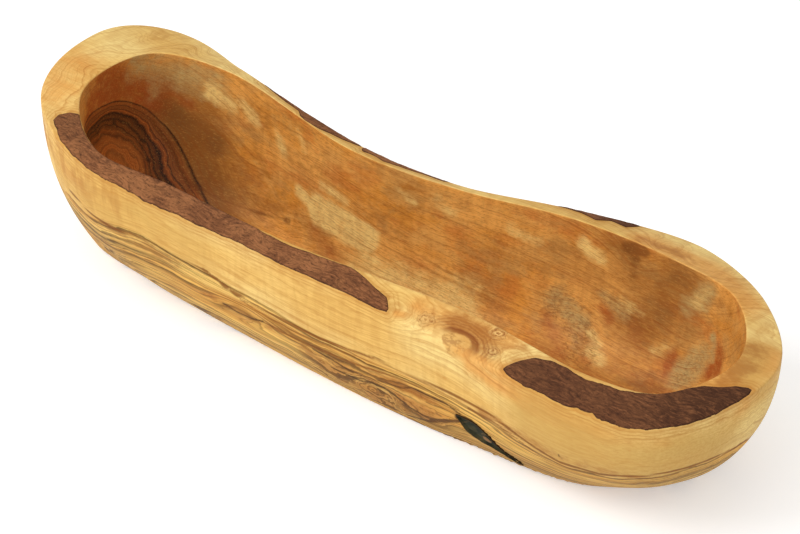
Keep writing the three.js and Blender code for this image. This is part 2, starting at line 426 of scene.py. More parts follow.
def pocket_bulge(run):
    """Half the pocket's height, from its blunt left end at -1 to its thin right tip at 1."""
    outline = np.sqrt(1 - run * run) * (0.4 + 0.9 * np.exp(-((run + 0.4) / 0.46) ** 2))
    return (POCKET_HEIGHT / 2 * outline + 0.12) * (1 + 0.08 * np.sin(9 * run + 1))


def sink_pocket(points):
    """Moves the wall in where the pocket lies."""
    place, lengthways, upwards, outward = pocket_axes()
    offset = points - place
    run = offset @ lengthways / (POCKET_LENGTH / 2)
    rise = offset @ upwards / np.maximum(pocket_bulge(np.clip(run, -1, 1)), 0.1)
    near = np.abs(offset @ outward) < POCKET_NEAR
    share = 1 - np.maximum(np.abs(run), np.abs(rise))
    depth = POCKET_RECESS * smooth_step(share, 0.05, 0.22) * near
    return points - np.outer(depth, outward)


def bowl_rings(edge_radius):
    """The rings of the whole bowl, from the middle of the foot over the rim to the floor."""
    station = np.arange(STATIONS * STEPS_PER_STATION) / STEPS_PER_STATION
    everywhere = np.ones(len(station))
    outward, width = rim_at(station)[2:]
    flat_outward = np.concatenate([outward, np.zeros((len(station), 1))], axis=1)
    chipped = flat_outward * foot_roughness(station)[:, None]
    foot = foot_at(station)
    mirror = np.roll(foot[::-1], 1, axis=0)
    spine = (foot + mirror) / 2 * (SPINE_SHARE, 1, 1)
    rings = [blend(spine, foot, share) for share in FOOT_SHARES]
    rings += [blend(spine, foot, share) - chipped for share in CHIPPED_SHARES]
    for depth, share in CHIPPED_DEPTHS:
        rings.append(wall_at(station, depth * everywhere) - chipped * share)
    for depth in WALL_DEPTHS:
        rings.append(sink_pocket(wall_at(station, depth * everywhere)))
    for drop in OUTER_EDGE_DROPS:
        rings.append(rounded(station, width + drop, edge_radius))
    for share in RIM_SHARES:
        girth = blend(RIM_MARGIN * everywhere, width - RIM_MARGIN, share)
        point = rounded(station, girth, edge_radius)
        point[:, 2] -= RECESS_DEPTH * in_recess(station, girth)
        rings.append(point)
    for girth in INNER_EDGE_GIRTHS:
        rings.append(rounded(station, girth * everywhere, edge_radius))
    first_inside = len(rings) - sum(girth < 0 for girth in INNER_EDGE_GIRTHS)
    first_turn = np.arcsin(HOLLOW_START ** (HOLLOW_ROUNDNESS / 2))
    for turn in np.linspace(first_turn, math.pi / 2, HOLLOW_RINGS):
        rings.append(hollow_at(station, np.full(len(station), turn)))
    floor = rings[-1]
    floor_spine = hollow_spine(rim_at(station)[0])
    floor_spine[:, 2] = FLOOR_THICKNESS
    for share in FLOOR_SHARES:
        rings.append(blend(floor_spine, floor, share))
    return rings, first_inside


def make_bowl(sizes):
    """The whole bowl as one closed mesh, with the faces of its hollow marked."""
    rings, first_inside = bowl_rings(sizes.edge_round / MM)
    count = len(rings[0])
    piece = new_object("bowl", np.concatenate(rings), ring_faces(count, len(rings)))
    inside = np.zeros(len(piece.data.polygons), bool)
    quads = (len(rings) - 1) * count
    inside[first_inside * count:quads] = True
    inside[-(count // 2):] = True
    mark = piece.data.attributes.new("inside", "BOOLEAN", "FACE")
    mark.data.foreach_set("value", inside)
    return piece


def grid_slab(name, top, bottom):
    """A closed slab between two grids of points with the same rows and columns."""
    rows, columns = top.shape[:2]
    points = np.concatenate([top.reshape(-1, 3), bottom.reshape(-1, 3)])
    lower = rows * columns
    faces = []
    for r in range(rows - 1):
        for c in range(columns - 1):
            a = r * columns + c
            quad = (a, a + 1, a + columns + 1, a + columns)
            faces.append(quad)
            faces.append(tuple(lower + i for i in quad[::-1]))
    rim = list(range(columns))
    rim += [r * columns + columns - 1 for r in range(1, rows)]
    rim += [(rows - 1) * columns + c for c in range(columns - 2, -1, -1)]
    rim += [r * columns for r in range(rows - 2, 0, -1)]
    for here, after in zip(rim, rim[1:] + rim[:1]):
        faces.append((after, here, lower + here, lower + after))
    return new_object(name, points, faces)


def make_bark(name, edge_radius):
    """One patch of bark, a ragged slab that follows the rim's surface and lies just proud of it."""
    rows = BARK_PATCHES[name]
    first, last = rows[0][0], rows[-1][0]
    steps = int((last - first) * STEPS_PER_STATION * BARK_FINENESS)
    station = np.linspace(first, last, steps)
    low, high = patch_edges(name, station)
    shares = (1 - np.cos(np.linspace(0, math.pi, BARK_ACROSS))) / 2
    end = np.minimum(station - first, last - station) * station_length(station)
    top = np.zeros((steps, BARK_ACROSS, 3))
    bottom = np.zeros((steps, BARK_ACROSS, 3))
    border = np.zeros((steps, BARK_ACROSS))
    for column, share in enumerate(shares):
        girth = blend(low, high, share)
        point = rounded(station, girth, edge_radius)
        from_edge = np.minimum(np.minimum(girth - low, high - girth), end)
        swell = smooth_step(from_edge, -0.2, 0.8) * 1.4 - 0.4
        top[:, column] = point + np.outer(BARK_PROUD * swell, (0, 0, 1))
        under = rounded(station, blend(girth, (low + high) / 2, 0.2), edge_radius)
        bottom[:, column] = under - (0, 0, BARK_THICKNESS)
        border[:, column] = 1 - smooth_step(from_edge, 0.1, 1.8)
    piece = grid_slab(name, top, bottom)
    write_layer(piece, "border", np.concatenate([border.ravel(), np.ones(border.size)]))
    return piece


def make_pocket():
    """The ingrown bark: a lens that follows the wall, dished and with a lump of wood in its middle."""
    place, lengthways, upwards, outward = pocket_axes()
    top = np.zeros((POCKET_ROWS, POCKET_COLUMNS, 3))
    bottom = np.zeros_like(top)
    lump = np.zeros((POCKET_ROWS, POCKET_COLUMNS))
    border = np.zeros_like(lump)
    for row, run in enumerate(np.linspace(-1, 1, POCKET_ROWS)):
        for column, rise in enumerate(np.linspace(-1, 1, POCKET_COLUMNS)):
            point = place + POCKET_LENGTH / 2 * run * lengthways + pocket_bulge(run) * rise * upwards
            level = max(point[2], 0.4)
            on_wall = wall_near(point, level)
            inside = min(1 - abs(rise), (1 - abs(run)) * 3)
            lump[row, column] = math.exp(-((run + 0.04) / 0.16) ** 2 - ((rise + 0.05) / 0.4) ** 2)
            dish = 1.2 * smooth_step(inside, 0.05, 0.4) - 0.9 * lump[row, column] - 0.22
            top[row, column] = on_wall - dish * outward
            bottom[row, column] = on_wall - POCKET_DEPTH * outward
            border[row, column] = 1 - smooth_step(inside, 0.02, 0.25)
    piece = grid_slab("bark_pocket_lens", top, bottom)
    write_layer(piece, "lump", np.concatenate([lump.ravel(), np.zeros(lump.size)]))
    write_layer(piece, "border", np.concatenate([border.ravel(), np.ones(border.size)]))
    return piece


def wall_near(point, level):
    """The point of the front wall at a level, straight in or out from a given point."""
    station = np.linspace(POCKET_STATION - POCKET_STRETCH, POCKET_STATION + POCKET_STRETCH, 49)
    height = rim_at(station)[1][:, 2]
    line = wall_at(station, 1 - level / height)
    order = np.argsort(line[:, 0])
    y = np.interp(point[0], line[order, 0], line[order, 1])
    return np.array([point[0], y, level])


# Nodes

class Nodes:
    """Adds nodes to one tree. A value is a number, a vector, a colour or another node's socket."""

    def __init__(self, tree):
        self.tree = tree

    def feed(self, socket, value):
        if isinstance(value, bpy.types.NodeSocket):
            self.tree.links.new(value, socket)
        else:
            socket.default_value = value

    def add(self, kind, values=None, **settings):
        node = self.tree.nodes.new(kind)
        for key, value in settings.items():
            setattr(node, key, value)
        for key, value in (values or {}).items():
            self.feed(node.inputs[key], value)
        return node

    def math(self, operation, a, b=0.0):
        return self.add("ShaderNodeMath", {0: a, 1: b}, operation=operation).outputs[0]

    def plus(self, a, b):
        return self.math("ADD", a, b)

    def minus(self, a, b):
        return self.math("SUBTRACT", a, b)

    def times(self, a, b):
        return self.math("MULTIPLY", a, b)

    def vector(self, operation, a, b=(0.0, 0.0, 0.0)):
        node = self.add("ShaderNodeVectorMath", {0: a, 1: b}, operation=operation)
        return node.outputs["Value" if operation in ("LENGTH", "DOT_PRODUCT") else "Vector"]

    def split(self, vector):
        return self.add("ShaderNodeSeparateXYZ", {0: vector}).outputs

    def join(self, x, y):
        return self.add("ShaderNodeCombineXYZ", {"X": x, "Y": y}).outputs[0]

    def span(self, value, low, high, start=0.0, end=1.0, way="SMOOTHSTEP"):
        """The value's way from low to high, as a smooth step from start to end."""
        values = {"Value": value, "From Min": low, "From Max": high, "To Min": start, "To Max": end}
        return self.add("ShaderNodeMapRange", values, interpolation_type=way).outputs[0]

    def line(self, value, low, high, start=0.0, end=1.0):
        """The value's way from low to high, as a straight line from start to end."""
        return self.span(value, low, high, start, end, "LINEAR")

    def mix(self, share, a, b, blend_type="MIX"):
        node = self.add("ShaderNodeMix", {0: share, 6: a, 7: b}, data_type="RGBA",
                        blend_type=blend_type, clamp_factor=True)
        return node.outputs[2]

    def noise(self, place, scale, detail=2.0, roughness=0.5, distortion=0.0):
        values = {"Vector": place, "Scale": scale, "Detail": detail, "Roughness": roughness,
                  "Distortion": distortion}
        return self.add("ShaderNodeTexNoise", values).outputs[0]

    def figure(self, place, factors, detail=2.0, roughness=0.5, distortion=0.0):
        """Noise drawn out along the log: the factors are its spots to the metre along X, Y and Z."""
        drawn = self.vector("MULTIPLY", place, factors)
        return self.noise(drawn, 1.0, detail, roughness, distortion)

    def ramp(self, share, stops):
        """A grey level between stops, each a place and a level."""
        node = self.add("ShaderNodeValToRGB", {"Fac": share})
        elements = node.color_ramp.elements
        while len(elements) > 1:
            elements.remove(elements[-1])
        elements[0].position = stops[0][0]
        elements[0].color = grey(stops[0][1])
        for position, level in stops[1:]:
            elements.new(position).color = grey(level)
        return node.outputs["Color"]

    def curve(self, share, points):
        node = self.add("ShaderNodeFloatCurve", {"Value": share})
        line = node.mapping.curves[0]
        line.points[0].location = points[0]
        line.points[-1].location = points[-1]
        for x, y in points[1:-1]:
            line.points.new(x, y)
        node.mapping.update()
        return node.outputs[0]

    def attribute(self, name):
        return self.add("ShaderNodeAttribute", attribute_name=name).outputs["Fac"]

    def place(self):
        return self.add("ShaderNodeTexCoord").outputs["Object"]


class Coat:
    """A colour built up in layers, each a named colour laid on by a share."""

    def __init__(self, nodes, colors, share, first, second):
        self.nodes = nodes
        self.colors = colors
        self.color = nodes.mix(share, colors[first], colors[second])

    def lay(self, name, share, strength=None, blend_type="MIX"):
        if strength is not None:
            share = self.nodes.times(share, strength)
        self.color = self.nodes.mix(share, self.color, self.colors[name], blend_type)

    def cover(self, other, share):
        """Lays another coat on this one."""
        self.color = self.nodes.mix(share, self.color, other.color)


FLOAT = "NodeSocketFloat"
VECTOR = "NodeSocketVector"


def shader_group(name, inputs, outputs):
    """An empty shader group with its sockets: its nodes, its given inputs and its results."""
    tree = bpy.data.node_groups.new(name, "ShaderNodeTree")
    for label, kind, value in inputs:
        socket = tree.interface.new_socket(label, in_out="INPUT", socket_type=kind)
        socket.default_value = value
    for label in outputs:
        tree.interface.new_socket(label, in_out="OUTPUT", socket_type=FLOAT)
    nodes = Nodes(tree)
    return nodes, nodes.add("NodeGroupInput").outputs, nodes.add("NodeGroupOutput").inputs


def use_group(nodes, name, values):
    node = nodes.add("ShaderNodeGroup", node_tree=bpy.data.node_groups[name])
    for key, value in values.items():
        nodes.feed(node.inputs[key], value)
    return node.outputs


def srgb(red, green, blue):
    """A colour given in the usual 0 to 255 steps, as the linear colour that nodes hold."""
    shares = [channel / 255 for channel in (red, green, blue)]
    return tuple(s / 12.92 if s <= 0.04045 else ((s + 0.055) / 1.055) ** 2.4 for s in shares) + (1.0,)


def grey(level):
    return (level, level, level, 1.0)


def within(value, ends):
    """How far a value lies between two ends, from 0 to 1."""
    return (value - ends[0]) / (ends[1] - ends[0])


def build_growth_rings():
    """Distance from the log's bent pith, 1 at the edge of the dark heart, with a slow wander."""
    nodes, given, result = shader_group(
        "Growth rings", [("Vector", VECTOR, (0, 0, 0)), ("Wander", FLOAT, 0.1)], ["Ring"])
    place = nodes.split(given["Vector"])
    share = nodes.line(place["X"], *(end * MM for end in PITH_SPAN))
    paths = []
    for column in (1, 2, 3):
        points = [(within(row[0], PITH_SPAN), within(row[column], PITH_RANGE)) for row in PITH]
        curve = nodes.curve(share, points)
        paths.append(nodes.line(curve, 0.0, 1.0, *(end * MM for end in PITH_RANGE)))
    offset = nodes.join(nodes.minus(place["Y"], paths[0]), nodes.minus(place["Z"], paths[1]))
    ring = nodes.math("DIVIDE", nodes.vector("LENGTH", offset), paths[2])
    slow = nodes.minus(nodes.figure(given["Vector"], (9, 24, 24), 1.0), 0.5)
    quick = nodes.minus(nodes.figure(given["Vector"], (26, 110, 110), 2.0, 0.6), 0.5)
    drift = nodes.plus(slow, nodes.times(quick, 0.22))
    nodes.feed(result["Ring"], nodes.plus(ring, nodes.times(drift, given["Wander"])))


def build_knot():
    """A pin knot or burl: how far it lifts the rings round it, and the way out from its middle."""
    nodes, given, result = shader_group(
        "Knot",
        [("Vector", VECTOR, (0, 0, 0)), ("Centre", VECTOR, (0, 0, 0)),
         ("Size", VECTOR, (0.01, 0.01, 0.01)), ("Pull", FLOAT, 0.1)],
        ["Lift", "Distance", "Side"])
    offset = nodes.vector("SUBTRACT", given["Vector"], given["Centre"])
    scaled = nodes.vector("DIVIDE", offset, given["Size"])
    squared = nodes.vector("DOT_PRODUCT", scaled, scaled)
    bell = nodes.math("EXPONENT", nodes.times(squared, -1.0))
    nodes.feed(result["Lift"], nodes.times(bell, given["Pull"]))
    nodes.feed(result["Distance"], nodes.math("SQRT", squared))
    nodes.feed(result["Side"], nodes.vector("DOT_PRODUCT", scaled, KNOT_SIDE))


def build_growth_lines():
    """Latewood lines at uneven steps of the ring value. Each darkens slowly and ends sharply."""
    nodes, given, result = shader_group(
        "Growth lines",
        [("Vector", VECTOR, (0, 0, 0)), ("Ring", FLOAT, 1.0), ("Count", FLOAT, 30.0),
         ("Waviness", FLOAT, 0.03), ("Breaks", FLOAT, 12.0)],
        ["Line", "Tone"])
    wave = nodes.figure(given["Vector"], (34, 140, 140), 3.0, 0.55)
    bend = nodes.times(nodes.minus(wave, 0.5), given["Waviness"])
    even = nodes.times(nodes.plus(given["Ring"], bend), given["Count"])
    along = nodes.times(nodes.split(given["Vector"])["X"], given["Breaks"])
    crowd = nodes.noise(nodes.join(nodes.times(even, 0.31), nodes.times(along, 0.3)), 1.0)
    phase = nodes.plus(even, nodes.times(crowd, 3.2))
    part = nodes.math("FRACT", phase)
    year = nodes.times(nodes.math("FLOOR", phase), 1.7)
    strength = nodes.span(nodes.noise(nodes.join(year, along), 1.0), 0.32, 0.66)
    rise = nodes.span(part, nodes.line(strength, 0.0, 1.0, 0.75, 0.35), 0.9)
    end = nodes.span(part, 1.0, 0.92)
    nodes.feed(result["Line"], nodes.times(nodes.times(rise, end), strength))
    slow = nodes.noise(nodes.join(nodes.times(phase, 0.23), along), 1.0)
    nodes.feed(result["Tone"], nodes.span(slow, 0.34, 0.66))


def build_grain():
    """The finest figure of the wood: short fibres, pores, the ripple of curly grain and blotches."""
    nodes, given, result = shader_group(
        "Fine grain", [("Vector", VECTOR, (0, 0, 0))], ["Fibre", "Pores", "Curl", "Blotch"])
    place = given["Vector"]
    fibre = nodes.figure(place, (80, 900, 900), 3.0, 0.6)
    nodes.feed(result["Fibre"], nodes.span(fibre, 0.3, 0.7))
    pores = nodes.figure(place, (260, 2000, 2000), 1.0)
    nodes.feed(result["Pores"], nodes.span(pores, 0.64, 0.74))
    curl = nodes.figure(place, (230, 50, 50), 3.0, 0.55, 0.4)
    nodes.feed(result["Curl"], nodes.span(curl, 0.36, 0.68))
    blotch = nodes.figure(place, (70, 120, 120), 6.0, 0.68)
    nodes.feed(result["Blotch"], nodes.minus(blotch, 0.5))


# The way from a knot's middle towards the hollow's edge, where the rings are squeezed most
KNOT_SIDE = (0.35, 0.94, 0.1)

# Places on the rim and wall where the rings swerve: centre and size in millimetres, and pull
SWERVES = [
    ((133, -60, 35), (6, 6, 5), 0.12),
    ((-162, -56, 50), (5, 4, 5), 0.16),
    ((-45, -61, 30), (15, 8, 6), -0.24),
    ((27, -53, 15), (16, 8, 6), -0.22),
    ((56, -52, 10), (10, 8, 8), 0.16),
    ((42, -55, 70), (11, 9, 9), 0.2),
    ((102, -54, 70), (12, 9, 9), 0.2),
    ((128, 50, 70), (14, 12, 9), 0.2),
    ((168, 30, 72), (12, 12, 9), -0.2),
    ((182, 2, 74), (9, 6, 9), 0.22),
    ((-174, 24, 80), (8, 22, 12), 0.34),
    ((-148, 46, 80), (7, 20, 12), 0.28),
    ((-182, -14, 82), (12, 9, 12), -0.22),
    ((108, 56, 69), (6, 8, 9), 0.3),
]
INSIDE_SWERVES = [
    ((98, 45, 62), (12, 8, 12), 0.1),
    ((72, 36, 28), (14, 9, 10), -0.08),
    ((132, 40, 45), (16, 12, 14), 0.06),
    ((-100, 22, 40), (20, 14, 14), -0.05),
]

# Pin knots on the rim, and the overgrown branch beside them: centre and size in millimetres
PIN_KNOTS = [
    ((56, -54, 69), (2.6, 2.4, 4)),
    ((88, -45, 72), (2.8, 2.2, 4)),
    ((92, -54, 69), (2.2, 1.8, 4)),
]
EYE_KNOT = ((75, -57, 68), (7.0, 4.2, 8))

# How far out a knot's rings are painted and a distance past all knots, both in a knot's own sizes
KNOT_REACH = 3.0
FAR_FROM_KNOTS = 9.0

# Rings from a knot's middle out, as shares of its reach and levels
PIN_KNOT_DARK = [
    (0.0, 0.95), (0.08, 0.6), (0.15, 0.0), (0.24, 0.2), (0.31, 0.9), (0.36, 0.35),
    (0.47, 0.15), (0.53, 0.55), (0.58, 0.0), (0.7, 0.0), (0.76, 0.25), (0.8, 0.0),
]
PIN_KNOT_PALE = [(0.06, 0.0), (0.16, 0.9), (0.3, 0.1), (0.42, 0.45), (0.5, 0.0)]
EYE_KNOT_ARCS = [
    (0.3, 0.0), (0.37, 0.8), (0.5, 0.95), (0.56, 0.45), (0.6, 0.2), (0.64, 0.65), (0.69, 0.2),
    (0.74, 0.55), (0.79, 0.1), (0.85, 0.45), (0.9, 0.05), (0.95, 0.3), (1.0, 0.0),
]

# Lines that follow the border of the bark, from far off to its edge
BARK_OUTLINES = [
    (0.12, 0.0), (0.2, 0.35), (0.27, 0.05), (0.4, 0.1), (0.5, 0.5), (0.58, 0.1), (0.8, 0.2),
    (0.88, 0.55), (0.97, 0.4),
]

# The swirling figure low on the front wall, and where the pith comes out of the higher end:
# centre and size in millimetres, and how far the rings are stirred
BURL = ((22, -54, 13), (34, 14, 12), 1.0)
LEFT_END = ((-196, -12, 22), (14, 40, 40), 0.4)

# The heart's dark rings, from the pith out: place, half width and darkness
HEART_BANDS = [
    (0.3, 0.05, 0.8), (0.42, 0.02, 0.8), (0.52, 0.07, 1.0), (0.62, 0.02, 0.85),
    (0.7, 0.04, 0.9), (0.8, 0.07, 1.0), (0.875, 0.016, 0.8), (0.93, 0.014, 0.8),
    (0.99, 0.024, 1.0),
]
HEART_BAND_SPAN = 1.2
PITH_DARKNESS = 0.2

# Blotches that use left in the hollow, with a painted pool of light in the pale one: stain, colour,
# strength, spread and softness
USE_BLOTCHES = [
    ("red_stain", "ruddy", 0.9, 1.3, 0.4),
    ("grey_stain", "grey", 1.0, 1.2, 0.28),
    ("pale_stain", "pale", 1.0, 1.2, 0.3),
]

# Bump depths of the finishes, in metres. The wood's is inward, so that its pores are sunk
WOOD_BUMP = -0.06 * MM
BARK_BUMP = 0.2 * MM
POCKET_BUMP = 0.4 * MM


def heart_bands(nodes, ring):
    """How dark the heart's own rings are here, from 0 to 1."""
    stops = [(0.0, PITH_DARKNESS)]
    for place, half, dark in HEART_BANDS:
        stops += [(place - half, 0.0), (place, dark), (place + half * 0.6, 0.0)]
    share = nodes.math("DIVIDE", ring, HEART_BAND_SPAN)
    return nodes.ramp(share, [(place / HEART_BAND_SPAN, level) for place, level in stops])


def use_knot(nodes, place, centre, size, pull=0.0):
    """A knot's outputs, with its centre and size given in millimetres."""
    return use_group(nodes, "Knot", {
        "Vector": place, "Centre": [c * MM for c in centre], "Size": [s * MM for s in size],
        "Pull": pull})


def growth_lines(nodes, place, ring, count, waviness, breaks):
    return use_group(nodes, "Growth lines", {
        "Vector": place, "Ring": ring, "Count": count, "Waviness": waviness, "Breaks": breaks})


def ring_field(nodes, place, wander, swerves):
    """The ring value at each point, with each swerve's pull in it."""
    ring = use_group(nodes, "Growth rings", {"Vector": place, "Wander": wander})["Ring"]
    for row in swerves:
        ring = nodes.plus(ring, use_knot(nodes, place, *row)["Lift"])
    return ring


def roughened(nodes, value, place, factors, amount):
    """A value with an uneven edge wherever it is cut at a level."""
    rough = nodes.minus(nodes.figure(place, factors, 4.0, 0.6), 0.5)
    return nodes.plus(value, nodes.times(rough, amount))


def turmoil(nodes, ring, place, mask, scale, amount):
    """The ring value, stirred wherever the mask allows it."""
    stir = nodes.minus(nodes.noise(place, scale, 3.0, 0.6), 0.5)
    return nodes.plus(ring, nodes.times(nodes.times(stir, mask), amount))


def stain(nodes, label, blotch, strength, spread, soft):
    """A painted mark with an edge broken up by the wood's blotches: a stain, and in a few places
    painted shade and painted light.
    """
    painted = nodes.attribute(label)
    reach = nodes.plus(painted, nodes.times(blotch, spread))
    some = nodes.span(painted, 0.04, 0.3)
    return nodes.times(nodes.span(reach, 0.5 - soft, 0.5 + soft, 0.0, strength), some)


def new_material(name):
    """The nodes of a new, empty material."""
    material = bpy.data.materials.new(name)
    material.use_nodes = True
    material.node_tree.nodes.clear()
    return Nodes(material.node_tree)


def finish_shader(nodes, color, roughness, height, bump, **constants):
    """One Principled shader with a bump, its plain values set on its own sockets."""
    values = {"Base Color": color, "Roughness": roughness}
    shader = nodes.add("ShaderNodeBsdfPrincipled", values)
    for key, value in constants.items():
        shader.inputs[key.replace("_", " ")].default_value = value
    relief = nodes.add("ShaderNodeBump", {"Height": height})
    relief.inputs["Strength"].default_value = 1.0
    relief.inputs["Distance"].default_value = bump
    nodes.feed(shader.inputs["Normal"], relief.outputs[0])
    output = nodes.add("ShaderNodeOutputMaterial")
    nodes.feed(output.inputs["Surface"], shader.outputs[0])


def paint_pin_knots(nodes, coat, place):
    """Small knots: a dark core, a pale ring, and fainter rings round it."""
    nearest = FAR_FROM_KNOTS
    for centre, size in PIN_KNOTS:
        nearest = nodes.math("MINIMUM", use_knot(nodes, place, centre, size)["Distance"], nearest)
    uneven = roughened(nodes, nearest, place, (420, 420, 420), 1.9)
    share = nodes.math("DIVIDE", uneven, KNOT_REACH)
    broken = nodes.span(nodes.noise(place, 480.0), 0.4, 0.6, 0.35, 1.0)
    coat.lay("knot_pale", nodes.ramp(share, PIN_KNOT_PALE))
    coat.lay("knot_brown", nodes.ramp(share, PIN_KNOT_DARK), broken)


def paint_eye_knot(nodes, coat, place):
    """The overgrown branch on the rim: a mottled oval, with soft brown rings on the hollow's side."""
    knot = use_knot(nodes, place, *EYE_KNOT)
    uneven = roughened(nodes, knot["Distance"], place, (150, 150, 150), 0.6)
    share = nodes.math("DIVIDE", uneven, KNOT_REACH)
    oval = nodes.span(share, 0.36, 0.3)
    spots = nodes.span(nodes.noise(place, 420.0, 3.0, 0.6), 0.46, 0.62, 0.0, 0.25)
    mottling = nodes.span(nodes.figure(place, (160, 260, 200), 4.0, 0.65), 0.5, 0.62, 0.0, 0.5)
    coat.lay("knot_tan", oval, 0.6)
    coat.lay("knot_pale", oval, spots)
    coat.lay("knot_brown", oval, mottling)
    coat.lay("knot_brown", nodes.ramp(share, EYE_KNOT_ARCS), nodes.span(knot["Side"], -0.5, 0.9))


def olive_outside(colors):
    """Sanded olive wood of the rim and the outer wall: pale sapwood over a dark striped heart, with
    painted shade on the wall at the +X end.
    """
    nodes = new_material("olive wood, sanded")
    place = nodes.place()
    ring = ring_field(nodes, place, 0.24, SWERVES)
    wavy = roughened(nodes, ring, place, (26, 120, 120), 0.1)
    stirred = nodes.plus(*(use_knot(nodes, place, *row)["Lift"] for row in (BURL, LEFT_END)))
    bent = turmoil(nodes, wavy, place, stirred, 62.0, 0.75)
    fine = growth_lines(nodes, place, bent, 34.0, 0.05, 16.0)
    bold = growth_lines(nodes, place, bent, 11.0, 0.1, 9.0)
    grain = use_group(nodes, "Fine grain", {"Vector": place})
    blotch = grain["Blotch"]

    broad = nodes.span(nodes.figure(place, (13, 26, 26)), 0.36, 0.64)
    coat = Coat(nodes, colors, broad, "sap_light", "sap_deep")
    coat.lay("sap_deep", bold["Tone"], 0.3)
    coat.lay("sap_line", bold["Line"], 0.36)
    coat.lay("sap_line", fine["Line"], 0.36)
    coat.lay("sap_line", grain["Curl"], nodes.line(nodes.attribute("curly"), 0.0, 1.0, 0.2, 0.75))
    heart = Coat(nodes, colors, fine["Tone"], "heart_light", "heart_brown")
    heart.lay("heart_gold", bold["Tone"], 0.65)
    in_heart = nodes.span(bent, 1.03, 0.99)
    coat.cover(heart, in_heart)

    coat.lay("sap_orange", stain(nodes, "warm_stain", blotch, 0.65, 1.2, 0.45), None, "MULTIPLY")
    # Tan sapwood, and painted shade on the outer wall at the +X end
    coat.lay("sap_tan_and_shade", stain(nodes, "tan_stain", blotch, 0.8, 0.6, 0.5))
    coat.lay("russet", stain(nodes, "russet_stain", blotch, 0.6, 2.2, 0.3))
    coat.lay("heart_dark", fine["Line"], nodes.times(in_heart, 0.75))
    coat.lay("heart_line", bold["Line"], nodes.times(in_heart, 0.85))
    uneven = nodes.span(nodes.figure(place, (20, 60, 60)), 0.38, 0.6, 0.1, 0.75)
    coat.lay("heart_line", heart_bands(nodes, bent), uneven)

    halo = roughened(nodes, nodes.attribute("halo"), place, (120, 120, 120), 0.16)
    coat.lay("sap_line", nodes.ramp(halo, BARK_OUTLINES))
    paint_pin_knots(nodes, coat, place)
    paint_eye_knot(nodes, coat, place)
    veins = roughened(nodes, nodes.attribute("vein"), place, (60, 260, 260), 0.3)
    coat.lay("heart_dark", nodes.span(veins, 0.35, 0.75, 0.0, 0.85))
    streaks = roughened(nodes, nodes.attribute("streak"), place, (120, 350, 350), 0.45)
    coat.lay("heart_line", nodes.span(streaks, 0.5, 0.85, 0.0, 0.9))
    coat.lay("sap_line", grain["Fibre"], 0.24)
    coat.lay("heart_brown", grain["Pores"], 0.35)
    height = nodes.plus(nodes.times(grain["Fibre"], 0.5), grain["Pores"])
    rough = nodes.line(grain["Fibre"], 0.0, 1.0, 0.56, 0.66)
    finish_shader(nodes, coat.color, rough, height, WOOD_BUMP, IOR=1.45, Specular_IOR_Level=0.14)


